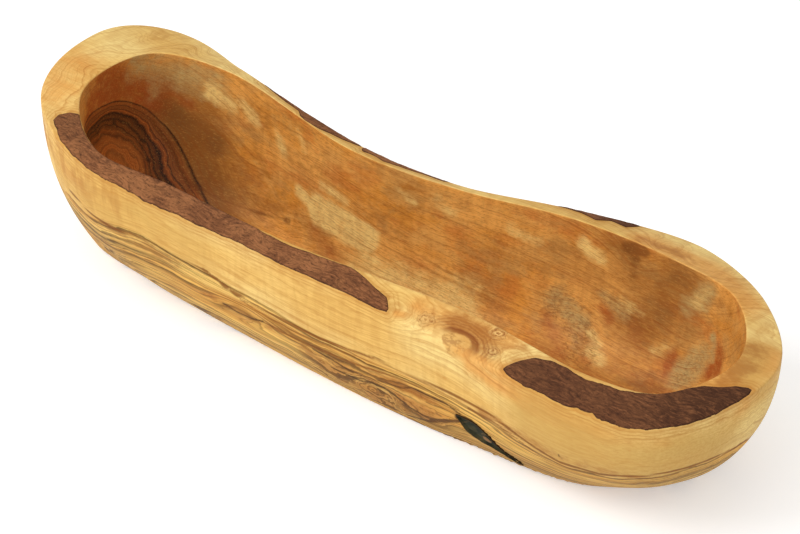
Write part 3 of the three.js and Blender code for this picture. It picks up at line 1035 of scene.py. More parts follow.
def olive_inside(colors):
    """The same wood inside the hollow, oiled to a warm orange brown with blotches left by use, painted
    shade at both ends and a painted pool of light low in the middle.
    """
    nodes = new_material("olive wood, oiled")
    place = nodes.place()
    ring = ring_field(nodes, place, 0.16, INSIDE_SWERVES)
    wild = nodes.span(ring, 1.0, 0.7)
    wavy = roughened(nodes, ring, place, (30, 70, 70), 0.05)
    bent = turmoil(nodes, turmoil(nodes, wavy, place, wild, 24.0, 0.42), place, wild, 60.0, 0.24)
    fine = growth_lines(nodes, place, bent, 54.0, 0.04, 20.0)
    bold = growth_lines(nodes, place, bent, 15.0, 0.06, 12.0)
    grain = use_group(nodes, "Fine grain", {"Vector": place})
    blotch = grain["Blotch"]
    aside = nodes.vector("ADD", place, (0.11, 0.37, 0.21))
    further = nodes.vector("ADD", place, (0.37, 0.21, 0.11))

    clouds = nodes.span(nodes.figure(place, (20, 40, 40), 4.0, 0.6), 0.36, 0.64)
    coat = Coat(nodes, colors, clouds, "oil_light", "oil_deep")
    dusk = nodes.figure(place, (26, 50, 50), 6.0, 0.7, 0.3)
    coat.lay("umber", nodes.span(dusk, 0.5, 0.64, 0.0, 0.42))
    coat.lay("oil_gold", nodes.span(nodes.figure(place, (38, 70, 70), 5.0, 0.65), 0.5, 0.64), 0.6)
    coat.lay("oil_red", nodes.span(nodes.figure(further, (30, 60, 60), 5.0, 0.65), 0.5, 0.66), 0.55)
    coat.lay("oil_tan", nodes.span(nodes.figure(aside, (34, 60, 60), 6.0, 0.7), 0.48, 0.64), 0.6)
    # Brown stains, and painted shade at both ends of the hollow
    coat.lay("umber", stain(nodes, "brown_stain", blotch, 0.82, 0.35, 0.55))
    mottle = nodes.span(nodes.figure(place, (150, 300, 300), 4.0, 0.65), 0.3, 0.6, 0.6)
    # The pale blotches also hold a painted pool of light low in the middle of the hollow
    for label, shade, strength, spread, soft in USE_BLOTCHES:
        coat.lay(shade, stain(nodes, label, blotch, strength, spread, soft), mottle)
    coat.lay("oil_line", grain["Curl"], 0.18)
    coat.lay("oil_line", bold["Line"], 0.36)
    coat.lay("oil_line", fine["Line"], 0.42)
    torn = nodes.span(nodes.figure(place, (420, 900, 700), 4.0, 0.7), 0.5, 0.6)
    specks = nodes.times(torn, nodes.span(nodes.attribute("torn"), 0.1, 0.6))
    coat.lay("umber", specks, 0.4)

    in_heart = nodes.span(bent, 1.0, 0.93)
    heart = Coat(nodes, colors, nodes.times(fine["Tone"], 0.8), "ember", "umber")
    heart.lay("oil_red", nodes.span(bent, 0.6, 0.45, 0.0, 0.5))
    coat.cover(heart, nodes.times(in_heart, 0.9))
    ringed = nodes.times(nodes.span(bent, 0.86, 0.8), nodes.span(bent, 0.52, 0.6, 0.1))
    coat.lay("heart_black", ringed, 0.5)
    clumps = nodes.span(nodes.figure(place, (60, 120, 120), 3.0, 0.6), 0.54, 0.66)
    coat.lay("heart_black", nodes.times(clumps, ringed), 0.8)
    coat.lay("heart_black", nodes.times(fine["Line"], in_heart), 0.5)
    uneven = nodes.span(nodes.figure(place, (40, 60, 60)), 0.3, 0.5, 0.75, 1.0)
    bands = nodes.times(heart_bands(nodes, bent), uneven)
    coat.lay("heart_black", bands, nodes.span(bent, 0.45, 0.6, 0.55))
    veins = roughened(nodes, nodes.attribute("vein"), place, (60, 260, 260), 0.3)
    coat.lay("heart_dark", nodes.span(veins, 0.3, 0.7, 0.0, 0.85))

    coat.lay("umber", stain(nodes, "dark_stain", blotch, 0.65, 1.6, 0.3))
    scratch = nodes.figure(place, (300, 1500, 1500), 3.0, 0.7)
    coat.lay("oil_line", nodes.span(scratch, 0.5, 0.66, 0.0, 0.4))
    coat.lay("oil_light", nodes.span(scratch, 0.46, 0.34, 0.0, 0.22))
    height = nodes.plus(nodes.times(grain["Fibre"], 0.6), grain["Pores"])
    height = nodes.plus(height, nodes.times(specks, 1.2))
    rough = nodes.line(clouds, 0.0, 1.0, 0.48, 0.6)
    finish_shader(nodes, coat.color, rough, height, WOOD_BUMP, IOR=1.46, Specular_IOR_Level=0.2)


def bark_material(colors):
    """Sanded bark: red-brown fibres that swirl, darker towards its edges and at the wider end."""
    nodes = new_material("olive bark, sanded")
    place = nodes.place()
    along = nodes.split(place)["X"]
    drift = nodes.add("ShaderNodeTexNoise", {"Vector": place, "Scale": 55.0}).outputs["Color"]
    warped = nodes.vector("ADD", place, nodes.vector("MULTIPLY", drift, (0.008, 0.014, 0.008)))
    lines = nodes.math("PINGPONG", nodes.times(nodes.figure(warped, (60, 150, 90)), 14.0), 0.5)
    hairs = nodes.figure(warped, (130, 1000, 1000), 4.0, 0.65)
    grit = nodes.figure(place, (500, 1100, 1100), 3.0, 0.7)

    broad = nodes.span(nodes.noise(place, 60.0, 4.0, 0.6), 0.38, 0.62)
    coat = Coat(nodes, colors, broad, "bark_deep", "bark_light")
    coat.lay("bark_chocolate", nodes.span(along, 0.03, 0.09, 0.0, 0.75))
    coat.lay("bark_chocolate", nodes.span(along, -0.13, -0.16, 0.0, 0.4))
    coat.lay("bark_dark", nodes.span(along, 0.16, 0.19, 0.0, 0.55))
    quiet = nodes.span(along, 0.03, 0.09, 1.0, 0.55)
    patchy = nodes.span(nodes.noise(place, 150.0), 0.4, 0.65, 0.35, 0.75)
    coat.lay("bark_thread", nodes.times(nodes.span(hairs, 0.46, 0.68), patchy), quiet)
    coat.lay("bark_dark", nodes.span(hairs, 0.52, 0.28, 0.0, 0.6))
    coat.lay("bark_dark", nodes.span(lines, 0.3, 0.5, 0.0, 0.25))
    coat.lay("bark_dark", nodes.span(grit, 0.54, 0.66, 0.0, 0.6))
    coat.lay("bark_thread", nodes.span(grit, 0.42, 0.32, 0.0, 0.5), quiet)
    border = roughened(nodes, nodes.attribute("border"), place, (300, 300, 300), 0.8)
    coat.lay("bark_dark", nodes.span(border, 0.45, 0.95, 0.0, 0.7))
    finish_shader(nodes, coat.color, 0.75, hairs, BARK_BUMP, IOR=1.42, Specular_IOR_Level=0.15)


def pocket_material(colors):
    """Old ingrown bark: black-green round a lump of grey-brown wood, with a dark brown lip."""
    nodes = new_material("ingrown bark")
    place = nodes.place()
    turned = nodes.add("ShaderNodeMapping", {"Vector": place}, vector_type="POINT")
    turned.inputs["Rotation"].default_value = (0.0, math.radians(-POCKET_TILT_DEG), 0.0)
    threads = nodes.figure(turned.outputs[0], (60, 300, 560), 4.0, 0.65)

    mossy = nodes.span(nodes.noise(place, 190.0, 3.0), 0.42, 0.62)
    coat = Coat(nodes, colors, mossy, "pocket_deep", "pocket_green")
    coat.lay("pocket_thread", nodes.span(threads, 0.55, 0.66, 0.0, 0.5))
    lump = roughened(nodes, nodes.attribute("lump"), place, (300, 300, 300), 1.2)
    coat.lay("pocket_lump", nodes.span(lump, 0.5, 0.75, 0.0, 0.9))
    border = roughened(nodes, nodes.attribute("border"), place, (260, 260, 260), 1.0)
    coat.lay("heart_line", nodes.span(border, 0.5, 0.95, 0.0, 0.8))
    finish_shader(nodes, coat.color, 0.7, threads, POCKET_BUMP, IOR=1.45, Specular_IOR_Level=0.12)


# Blotches and lines painted on the wood, by kind: strength, reach in millimetres and the points
# along each. A few rows are painted shade, and one is a painted pool of light; each is marked.
# A reach under about 1.3 mm is finer than the mesh
STAINS = {
    "brown_stain": [
        (0.45, 9, (64, 36, 28), (76, 34, 23), (82, 27, 16)),
        (0.6, 14, (-144, 22, 36), (-132, 20, 28), (-117, 17, 18)),
        (1.08, 12, (-163, 15, 56), (-152, 20, 48), (-143, 22, 44), (-136, 23, 40)),
        (0.7, 12, (-158, 18, 64), (-150, 23, 60), (-140, 26, 54)),
        (0.6, 5, (106, 22, 14), (128, 25, 17)),
        # Painted shade on the hollow's wall at the +X end
        (0.38, 20, (150, 26, 60), (166, 4, 60), (160, -16, 56)),
        (0.75, 18, (104, 38, 36), (114, 42, 48), (120, 44, 62)),
        (0.6, 16, (92, 46, 62), (108, 42, 50), (114, 38, 38)),
        (0.4, 14, (60, 40, 50), (80, 42, 44)),
        (0.45, 12, (66, 20, 13), (84, 20, 13), (128, 22, 15), (146, 20, 30)),
        (0.95, 20, (-150, 18, 40), (-138, 16, 26), (-122, 6, 14)),
        # Painted shade in the hollow's -X end
        (0.5, 14, (-172, -6, 70), (-168, 6, 62)),
        (0.5, 6, (-137, 14, 19), (-125, 15, 17), (-102, 18, 17)),
    ],
    "curly": [
        (1.0, 9, (-178, -52, 72), (-160, -62, 70), (-136, -68, 68), (-112, -71, 66)),
    ],
    "dark_stain": [
        (0.85, 4, (92, 45, 68), (101, 46, 70)),
        (0.55, 4, (97, 46, 66), (96, 45, 55)),
        (0.9, 1.6, (-86, 18, 20), (-84, 18, 20)),
    ],
    "grey_stain": [
        (0.72, 11, (-166, 8, 80), (-152, 21, 74), (-136, 27, 71)),
        (0.5, 8, (-153, 22, 64), (-143, 26, 66)),
        (0.5, 7, (-161, 16, 68), (-164, 13, 62)),
        (0.62, 8, (61, 36, 29), (70, 36, 27), (77, 35, 24)),
        (0.52, 5, (72, 32, 22), (77, 29, 18), (80, 26, 15)),
        (0.55, 6, (84, 40, 40), (97, 39, 34)),
        (0.9, 8, (133, 30, 24), (137, 33, 28), (140, 36, 34)),
        (0.75, 3, (144, 38, 46), (147, 34, 38)),
        (0.9, 7, (137, 43, 66), (134, 43, 58)),
        (0.75, 7, (127, 43, 53), (133, 43, 56)),
    ],
    "pale_stain": [
        (0.85, 6, (-139, 27, 68), (-128, 29, 63)),
        (0.6, 5, (-123, 29, 67), (-112, 28, 60)),
        (0.6, 5, (-97, 26, 61), (-93, 25, 53)),
        (0.5, 4, (-82, 24, 70), (-78, 23, 60)),
        (0.9, 4, (-80, 21, 38), (-68, 20, 33)),
        (1.8, 7, (-66, 20, 34), (-50, 18, 33), (-36, 19, 32)),
        (0.65, 4, (-65, 21, 48), (-50, 19, 47)),
        (0.5, 4, (-19, 23, 63), (-12, 23, 60)),
        (0.5, 5, (0, 26, 64), (8, 28, 60)),
        (0.5, 5, (36, 35, 58), (48, 38, 54)),
        (0.8, 5, (70, 44, 61), (79, 44, 56)),
        (0.5, 6, (94, 40, 42), (102, 40, 40)),
        (0.66, 3.4, (83, 34, 22), (88, 31, 19)),
        (0.7, 4.4, (86, 29, 17), (93, 27, 15)),
        (0.5, 6, (117, 36, 27), (122, 37, 31)),
        # A painted pool of light, wide and soft, low in the middle of the hollow
        (0.62, 15, (-34, 14, 17), (20, 19, 20)),
        (0.55, 6, (136, 42, 64), (132, 42, 56)),
    ],
    "red_stain": [
        (1.1, 18, (-170, -8, 75), (-170, -20, 60)),
        (0.9, 12, (-170, 0, 70), (-164, 12, 62)),
        (0.75, 5, (-161, 17, 66), (-150, 23, 57)),
        (0.5, 7, (-120, 22, 34), (-106, 22, 28)),
        (0.5, 7, (-66, 17, 22), (-50, 12, 15)),
        (0.55, 6, (60, 31, 22), (70, 27, 16), (74, 20, 13)),
        (0.8, 4, (84, 39, 34), (89, 39, 31)),
        (1.0, 4, (125, 36, 29), (126, 32, 23)),
        (1.1, 5, (150, 33, 42), (152, 31, 37), (148, 32, 33)),
    ],
    "russet_stain": [
        (0.75, 8, (180, 10, 74), (186, -4, 75), (184, -16, 75)),
        (0.8, 11, (-8, -58, 16), (22, -54, 13), (52, -52, 12)),
        (0.55, 5, (60, -56, 27), (20, -57, 27), (-30, -60, 28)),
        (0.7, 5, (-66, -62, 32), (-50, -61, 29), (-38, -60, 29)),
        (0.62, 6, (66, -48, 71), (84, -47, 70), (92, -50, 70), (104, -50, 70)),
        (0.45, 8, (184, -6, 75), (187, -20, 75)),
        (0.5, 6, (96, 52, 70), (112, 52, 70), (126, 50, 70)),
        (0.7, 4, (-122, -68, 48), (-106, -68, 48), (-94, -67, 46), (-80, -66, 43)),
        (0.5, 5, (90, -58, 37), (118, -59, 36), (150, -57, 35), (172, -51, 39)),
    ],
    "streak": [
        (0.6, 1.4, (44, -58, 69), (46, -57, 69)),
        (0.95, 1.6, (76, -54, 23), (67, -53, 17), (60, -51, 13), (52, -50, 11), (45, -51, 13),
         (39, -53, 17), (33, -54, 20), (26, -54, 20), (19, -54, 17), (10, -54, 17), (2, -55, 17)),
        (0.95, 1.6, (76, -55, 27), (68, -56, 30), (61, -56, 30), (56, -56, 30), (50, -57, 30),
         (43, -56, 26), (36, -56, 25), (28, -56, 23), (20, -56, 22), (12, -56, 22), (5, -57, 24),
         (-6, -57, 26)),
        (0.95, 1.6, (54, -56, 27), (56, -55, 24), (61, -55, 24), (67, -55, 25), (75, -55, 25)),
        (0.9, 1.6, (73, -53, 19), (64, -51, 14), (54, -48, 8), (40, -47, 4)),
        (0.95, 1.8, (28, -53, 17), (32, -53, 15), (28, -53, 13)),
        (0.9, 1.6, (-56, -61, 30), (-47, -60, 28), (-40, -60, 28), (-33, -60, 30)),
        (0.9, 1.6, (132, -60, 36), (133, -59, 34)),
        (1.0, 1.6, (55, -49, 10), (65, -51, 16), (73, -53, 20), (77, -54, 24)),
        (1.0, 2.4, (73, -53, 23), (79, -55, 26), (82, -55, 26)),
    ],
    "tan_stain": [
        # Painted shade on the outer wall at the +X end
        (1.3, 20, (125, -62, 48), (160, -56, 46), (186, -40, 48)),
        (0.7, 15, (-178, -40, 30), (-150, -54, 24), (-112, -60, 22)),
        (0.85, 11, (40, -46, 4), (90, -48, 8), (135, -44, 10), (168, -32, 16), (184, -8, 22)),
        (0.75, 8, (-110, -58, 12), (-50, -52, 8), (0, -50, 6), (40, -47, 5)),
        (0.7, 8, (-130, -68, 66), (-112, -70, 66), (-96, -70, 66)),
        (0.9, 9, (182, 10, 74), (192, -8, 72)),
        (0.55, 20, (-150, -66, 60), (-110, -70, 62), (-70, -68, 64)),
    ],
    "torn": [
        (1.1, 8, (61, 36, 29), (74, 35, 26), (83, 26, 15)),
        (0.5, 8, (84, 40, 40), (99, 39, 36)),
        (0.5, 7, (134, 30, 23), (138, 34, 29)),
    ],
    "vein": [
        (0.95, 1.5, (-64, -66, 49), (-49, -64, 43), (-33, -63, 39), (-16, -61, 37), (0, -60, 36),
         (17, -60, 37), (32, -59, 39), (42, -59, 38), (56, -58, 38), (76, -58, 39), (93, -59, 39),
         (103, -59, 37), (113, -59, 34), (122, -58, 32), (131, -57, 30)),
        (0.95, 1.5, (131, -57, 30), (140, -57, 31), (151, -55, 32), (160, -55, 35), (168, -53, 38),
         (175, -49, 40), (182, -42, 42), (188, -32, 43), (191, -20, 42), (192, -8, 41)),
        (0.62, 1.5, (192, -8, 41), (192, 4, 39)),
        (0.48, 1.5, (192, 4, 39), (188, 20, 37)),
        (0.85, 1.5, (-157, 14, 38), (-149, 13, 28), (-139, 13, 20)),
        (0.62, 1.5, (-139, 13, 20), (-125, 15, 17)),
        (0.8, 1.5, (-163, 11, 49), (-158, 13, 39), (-153, 14, 34), (-150, 13, 27), (-143, 12, 21),
         (-136, 12, 18)),
        (0.58, 1.5, (-137, 14, 19), (-125, 15, 17), (-102, 18, 17), (-86, 18, 20)),
        (0.9, 1.4, (-150, -62, 54), (-136, -66, 51), (-120, -68, 49), (-106, -68, 50),
         (-92, -68, 50), (-76, -67, 50), (-64, -66, 49)),
        (0.8, 1.3, (82, -57, 35), (96, -58, 35), (108, -58, 32), (118, -57, 28), (130, -56, 26),
         (142, -55, 27), (152, -54, 28), (162, -53, 31), (172, -49, 36), (181, -40, 38)),
        (0.75, 1.3, (-56, -65, 44), (-36, -62, 36), (-16, -60, 33), (0, -59, 33), (20, -58, 34)),
        (0.8, 1.3, (76, -56, 30), (60, -57, 33), (40, -57, 32), (20, -57, 29), (0, -58, 28),
         (-20, -59, 28), (-34, -60, 30)),
        (0.85, 1.4, (-184, -41, 62), (-183, -40, 54), (-178, -44, 47), (-171, -48, 43),
         (-168, -48, 35), (-165, -46, 25), (-149, -53, 25), (-126, -62, 32)),
    ],
    "warm_stain": [
        (0.8, 8, (50, -50, 71), (70, -50, 70), (95, -47, 71)),
        (0.9, 2, (43, -58, 69), (46, -57, 69)),
        (0.9, 5, (78, -60, 66), (95, -60, 66), (112, -60, 66)),
        (0.9, 6, (172, 12, 74), (190, 2, 75)),
        (1.3, 11, (186, 6, 75), (188, -18, 75), (180, -30, 74)),
        (1.0, 5, (84, -59, 62), (104, -62, 60), (124, -64, 58), (134, -64, 58)),
        (0.65, 16, (-188, -16, 84), (-179, -36, 84)),
        (0.95, 11, (98, 52, 69), (135, 50, 70), (160, 36, 72)),
        (0.8, 5, (110, -66, 62), (150, -64, 60), (178, -52, 62)),
        (0.7, 4, (136, -55, 70), (142, -52, 71)),
        (0.5, 8, (150, -60, 50), (186, -42, 50)),
        (0.7, 7, (-184, -40, 74), (-176, -48, 66)),
        (0.6, 7, (-150, -62, 66), (-112, -70, 66)),
    ],
}


def distance_to_path(points, path):
    """How far each point is from a path of straight runs, in millimetres."""
    nearest = np.full(len(points), np.inf)
    for start, end in zip(path, path[1:]):
        run = np.subtract(end, start)
        share = np.clip((points - start) @ run / (run @ run), 0, 1)
        gap = np.linalg.norm(points - start - share[:, None] * run, axis=1)
        nearest = np.minimum(nearest, gap)
    return nearest


def mesh_points(piece):
    """The piece's points in millimetres."""
    points = np.zeros(len(piece.data.vertices) * 3, np.float32)
    piece.data.vertices.foreach_get("co", points)
    return points.reshape(-1, 3) / MM


def write_layer(piece, name, values):
    """Keeps one value for each of the piece's points, for its material to read."""
    layer = piece.data.attributes.new(name, "FLOAT", "POINT")
    layer.data.foreach_set("value", np.asarray(values, np.float32))


def paint_stains(piece):
    """Writes each kind of painted mark, stains and a few patches of painted shade and light, as a
    smooth value from 0 to about 1 on the piece's points.
    """
    points = mesh_points(piece)
    for kind, rows in STAINS.items():
        value = np.zeros(len(points))
        for strength, reach, *path in rows:
            gap = distance_to_path(points, path)
            value = np.maximum(value, strength * np.exp(-(gap / reach) ** 2))
        write_layer(piece, kind, value)


def paint_halo(piece, edge_radius):
    """Writes how near each point is to the border of a patch of bark."""
    points = mesh_points(piece)
    value = np.zeros(len(points))
    for name, rows in BARK_PATCHES.items():
        station = np.linspace(rows[0][0], rows[-1][0], HALO_STEPS)
        edges = [rounded(station, girth, edge_radius) for girth in patch_edges(name, station)]
        border = np.concatenate(edges)
        tree = KDTree(len(border))
        for index, point in enumerate(border):
            tree.insert(point, index)
        tree.balance()
        low = border.min(axis=0) - HALO_SEARCH
        high = border.max(axis=0) + HALO_SEARCH
        close = np.flatnonzero(np.all((points > low) & (points < high), axis=1))
        gap = np.array([tree.find(points[i])[2] for i in close])
        value[close] = np.maximum(value[close], np.exp(-(gap / HALO_REACH) ** 2))
    write_layer(piece, "halo", value)


# Geometry nodes

# The noise level at which the relief leaves a point in place. Nearly all of it lies lower, so the
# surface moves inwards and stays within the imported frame's box
RELIEF_LEVEL = 0.8

# The height below which the foot stays flat, in metres
FLAT_FOOT = 0.3 * MM


def build_relief():
    """Geometry nodes that give a carved surface its slight unevenness, and its materials."""
    tree = bpy.data.node_groups.new("Surface relief", "GeometryNodeTree")
    face = tree.interface
    face.new_socket("Geometry", in_out="INPUT", socket_type="NodeSocketGeometry")
    for label in ("Material", "Inside material"):
        face.new_socket(label, in_out="INPUT", socket_type="NodeSocketMaterial")
    for label, value in (("Coarse depth", 0.1 * MM), ("Coarse scale", 30.0),
                         ("Fine depth", 0.05 * MM), ("Fine scale", 300.0)):
        face.new_socket(label, in_out="INPUT", socket_type=FLOAT).default_value = value
    face.new_socket("Geometry", in_out="OUTPUT", socket_type="NodeSocketGeometry")
    nodes = Nodes(tree)
    given = nodes.add("NodeGroupInput").outputs
    place = nodes.add("GeometryNodeInputPosition").outputs[0]
    shifts = []
    for label, detail, roughness in (("Coarse", 2.0, 0.5), ("Fine", 3.0, 0.6)):
        level = nodes.noise(place, given[label + " scale"], detail, roughness)
        shifts.append(nodes.times(nodes.minus(level, RELIEF_LEVEL), given[label + " depth"]))
    normal = nodes.add("GeometryNodeInputNormal").outputs[0]
    scaled = nodes.add("ShaderNodeVectorMath", {0: normal, "Scale": nodes.plus(*shifts)},
                       operation="SCALE")
    off_floor = nodes.math("GREATER_THAN", nodes.split(place)["Z"], FLAT_FOOT)
    moved = nodes.add("GeometryNodeSetPosition", {
        "Geometry": given["Geometry"], "Selection": off_floor, "Offset": scaled.outputs["Vector"]})
    outer = nodes.add("GeometryNodeSetMaterial", {
        "Geometry": moved.outputs[0], "Material": given["Material"]})
    inside = nodes.add("GeometryNodeInputNamedAttribute", {"Name": "inside"}, data_type="BOOLEAN")
    real = nodes.add("GeometryNodeRealizeInstances", {"Geometry": outer.outputs[0]})
    inner = nodes.add("GeometryNodeSetMaterial", {
        "Geometry": real.outputs[0], "Selection": inside.outputs["Attribute"],
        "Material": given["Inside material"]})
    nodes.feed(nodes.add("NodeGroupOutput").inputs["Geometry"], inner.outputs[0])


def run_nodes(piece, tree_name, values):
    """Runs a geometry nodes tree on a piece and keeps its result as the piece's plain mesh."""
    tree = bpy.data.node_groups[tree_name]
    modifier = piece.modifiers.new(tree_name, "NODES")
    modifier.node_group = tree
    sockets = {item.name: item.identifier for item in tree.interface.items_tree
               if item.in_out == "INPUT"}
    for label, value in values.items():
        modifier[sockets[label]] = value
    bpy.context.view_layer.update()
    shaped = piece.evaluated_get(bpy.context.evaluated_depsgraph_get())
    old = piece.data
    mesh = bpy.data.meshes.new_from_object(shaped)
    piece.modifiers.clear()
    piece.data = mesh
    mesh.name = piece.name
    bpy.data.meshes.remove(old)


def finish_surface(piece, outside, inside, coarse, fine):
    """Gives a piece its materials and its relief, coarse and fine each a depth and a scale."""
    run_nodes(piece, "Surface relief", {
        "Material": bpy.data.materials[outside],
        "Inside material": bpy.data.materials[inside],
        "Coarse depth": coarse[0], "Coarse scale": coarse[1],
        "Fine depth": fine[0], "Fine scale": fine[1]})


def settle(piece, slot, *nodes):
    """Puts a finished piece on the frame in place of its plain nodes."""
    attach(piece, "root")
    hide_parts(*nodes)


# Settings

class BowlSizes(bpy.types.PropertyGroup):
    """How the carver finished the bowl."""

    edge_round: bpy.props.FloatProperty(
        name="Edge rounding", description="How far each edge of the rim is rounded off",
        default=0.9 * MM, min=0.2 * MM, max=3 * MM, unit="LENGTH", precision=5)
    hand_finish: bpy.props.FloatProperty(
        name="Hand finish", description="How uneven the carved surface is",
        default=0.35 * MM, min=0.0, max=2 * MM, unit="LENGTH", precision=5)
    bark_relief: bpy.props.FloatProperty(
        name="Bark relief", description="How deep the bark's sanded texture is",
        default=0.22 * MM, min=0.0, max=1 * MM, unit="LENGTH", precision=5)


def color_property(label, text, red, green, blue):
    return bpy.props.FloatVectorProperty(
        name=label, description=text, default=srgb(red, green, blue)[:3], size=3,
        subtype="COLOR", min=0.0, max=1.0)


class BowlColors(bpy.types.PropertyGroup):
    """Colours of the wood, the bark and the pocket."""

    sap_light: color_property("Sapwood", "Palest sapwood", 246, 218, 142)
    sap_deep: color_property("Deep sapwood", "Warmer stretches of the sapwood", 234, 190, 106)
    sap_line: color_property("Sapwood lines", "Growth lines and fibres", 178, 114, 42)
    sap_orange: color_property("Orange sapwood", "Sapwood near knots and bark", 236, 178, 118)
    # Tan sapwood, and the colour of the painted shade on the outer wall at the +X end
    sap_tan_and_shade: color_property("Tan sapwood", "Duller sapwood of the wider end", 204, 164, 90)
    russet: color_property("Russet wood", "Brown wood of burls and knots", 156, 92, 36)
    knot_pale: color_property("Pale knot", "Pale rings of the knots", 232, 188, 116)
    knot_tan: color_property("Tan knot", "Flesh of the overgrown branch", 214, 160, 84)
    knot_brown: color_property("Brown knot", "Dark rings of the knots", 130, 68, 28)
    heart_light: color_property("Light heart", "Pale stripes of the heartwood", 240, 188, 92)
    heart_gold: color_property("Golden heart", "Golden stripes of the heartwood", 248, 212, 124)
    heart_brown: color_property("Brown heart", "Brown stripes of the heartwood", 204, 140, 62)
    heart_dark: color_property("Dark heart", "Dark streaks of the heartwood", 116, 62, 16)
    heart_line: color_property("Heart rings", "The darkest rings", 50, 26, 8)
    heart_black: color_property("Black heart", "Black rings in the hollow", 26, 14, 7)
    ember: color_property("Ember", "Orange wood between the black rings", 164, 84, 30)
    # Brown oiled wood, and the colour of the painted shade at both ends of the hollow
    umber: color_property("Umber", "Brown oiled wood", 116, 68, 29)
    oil_light: color_property("Oiled wood", "Lighter oiled wood", 244, 176, 88)
    oil_deep: color_property("Deep oiled wood", "Darker oiled wood", 224, 150, 58)
    oil_gold: color_property("Golden oiled wood", "Yellow patches under the oil", 228, 170, 90)
    oil_red: color_property("Red oiled wood", "Reddish patches under the oil", 200, 112, 46)
    oil_tan: color_property("Tan oiled wood", "Dull patches under the oil", 190, 142, 76)
    oil_line: color_property("Oiled lines", "Growth lines under the oil", 152, 84, 30)
    # Pale blotches, and the colour of the painted pool of light low in the hollow
    pale: color_property("Pale blotch", "Bare, pale blotches", 255, 218, 132)
    grey: color_property("Grey blotch", "Dry, grey blotches", 196, 165, 102)
    ruddy: color_property("Ruddy blotch", "Reddened wood", 166, 76, 25)
    bark_light: color_property("Bark", "Light bark", 150, 98, 60)
    bark_deep: color_property("Deep bark", "Deep bark", 122, 76, 46)
    bark_chocolate: color_property("Chocolate bark", "Darker bark of the wider end", 76, 44, 28)
    bark_dark: color_property("Dark bark", "Dark flecks", 56, 32, 20)
    bark_thread: color_property("Bark threads", "Reddish threads", 166, 108, 68)
    pocket_deep: color_property("Pocket", "Ingrown bark", 34, 37, 25)
    pocket_green: color_property("Pocket green", "Mossy ingrown bark", 60, 58, 37)
    pocket_thread: color_property("Pocket threads", "Threads in the pocket", 120, 96, 60)
    pocket_lump: color_property("Pocket lump", "Wood in the middle of the pocket", 150, 112, 72)


def palette():
    """The chosen colours by name, as nodes hold them."""
    colors = bpy.context.scene.bowl_colors
    return {name: (*getattr(colors, name), 1.0) for name in BowlColors.__annotations__}


# Stage

# Soft round lamps: place, width across and power, in metres and watts
LAMPS = [
    ("key light", (-0.9, -1.1, 1.5), 1.3, 20.0),
    ("front light", (-0.3, -1.7, 0.7), 1.5, 7.0),
    ("right light", (1.3, -0.6, 1.1), 1.4, 6.0),
    ("top light", (0.0, 0.0, 1.9), 1.4, 3.0),
]

# The floor's half width in millimetres, its grey, the glow that lifts it to white for the camera
# and in reflections, and how brightly the air lights the bowl
FLOOR_REACH = 4000.0
FLOOR_GREY = 0.86
FLOOR_GLOW = 0.34
AIR_LIGHT = 0.5


def make_lamp(name, place, size, power):
    light = bpy.data.lights.new(name, "AREA")
    light.shape = "DISK"
    light.size = size
    light.energy = power
    lamp = bpy.data.objects.new(name, light)
    lamp.location = place
    lamp.rotation_euler = direction_angles(np.array(CAMERA_TARGET) - place)
    bpy.context.scene.collection.objects.link(lamp)


def direction_angles(aim):
    """Euler angles that turn a lamp or camera, which look along -Z, to look along aim."""
    flat = math.hypot(aim[0], aim[1])
    return (math.atan2(flat, -aim[2]), 0.0, math.atan2(-aim[0], aim[1]))


def make_floor():
    nodes = new_material("studio floor")
    lit = nodes.add("ShaderNodeBsdfDiffuse", {"Color": grey(FLOOR_GREY)})
    white = nodes.add("ShaderNodeEmission", {"Color": grey(1.0), "Strength": FLOOR_GLOW})
    both = nodes.add("ShaderNodeAddShader", {0: lit.outputs[0], 1: white.outputs[0]})
    path = nodes.add("ShaderNodeLightPath").outputs
    seen = nodes.math("MAXIMUM", path["Is Camera Ray"], path["Is Glossy Ray"])
    choice = nodes.add("ShaderNodeMixShader", {0: seen, 1: lit.outputs[0], 2: both.outputs[0]})
    nodes.feed(nodes.add("ShaderNodeOutputMaterial").inputs["Surface"], choice.outputs[0])
    corners = np.array([(-1, -1, 0), (1, -1, 0), (1, 1, 0), (-1, 1, 0)]) * FLOOR_REACH
    floor = new_object("floor", corners, [(0, 1, 2, 3)])
    floor.data.materials.append(bpy.data.materials["studio floor"])


def make_world(scene):
    """White air for the camera, which lights the bowl softly from all round."""
    world = bpy.data.worlds.new("studio air")
    world.use_nodes = True
    world.node_tree.nodes.clear()
    nodes = Nodes(world.node_tree)
    path = nodes.add("ShaderNodeLightPath").outputs
    dim = nodes.add("ShaderNodeBackground", {"Color": grey(1.0), "Strength": AIR_LIGHT})
    white = nodes.add("ShaderNodeBackground", {"Color": grey(1.0), "Strength": 1.0})
    choice = nodes.add("ShaderNodeMixShader", {
        0: path["Is Camera Ray"], 1: dim.outputs[0], 2: white.outputs[0]})
    nodes.feed(nodes.add("ShaderNodeOutputWorld").inputs["Surface"], choice.outputs[0])
    scene.world = world


def make_camera(scene):
    azimuth = math.radians(CAMERA_AZIMUTH_DEG)
    elevation = math.radians(CAMERA_ELEVATION_DEG)
    back = np.array([math.sin(azimuth) * math.cos(elevation),
                     -math.cos(azimuth) * math.cos(elevation), math.sin(elevation)])
    camera = bpy.data.objects.new("camera", bpy.data.cameras.new("camera"))
    camera.data.lens = CAMERA_LENS
    camera.data.sensor_width = 36.0
    camera.location = np.array(CAMERA_TARGET) + back * CAMERA_DISTANCE
    camera.rotation_euler = direction_angles(-back)
    scene.collection.objects.link(camera)
    scene.camera = camera


# Operators

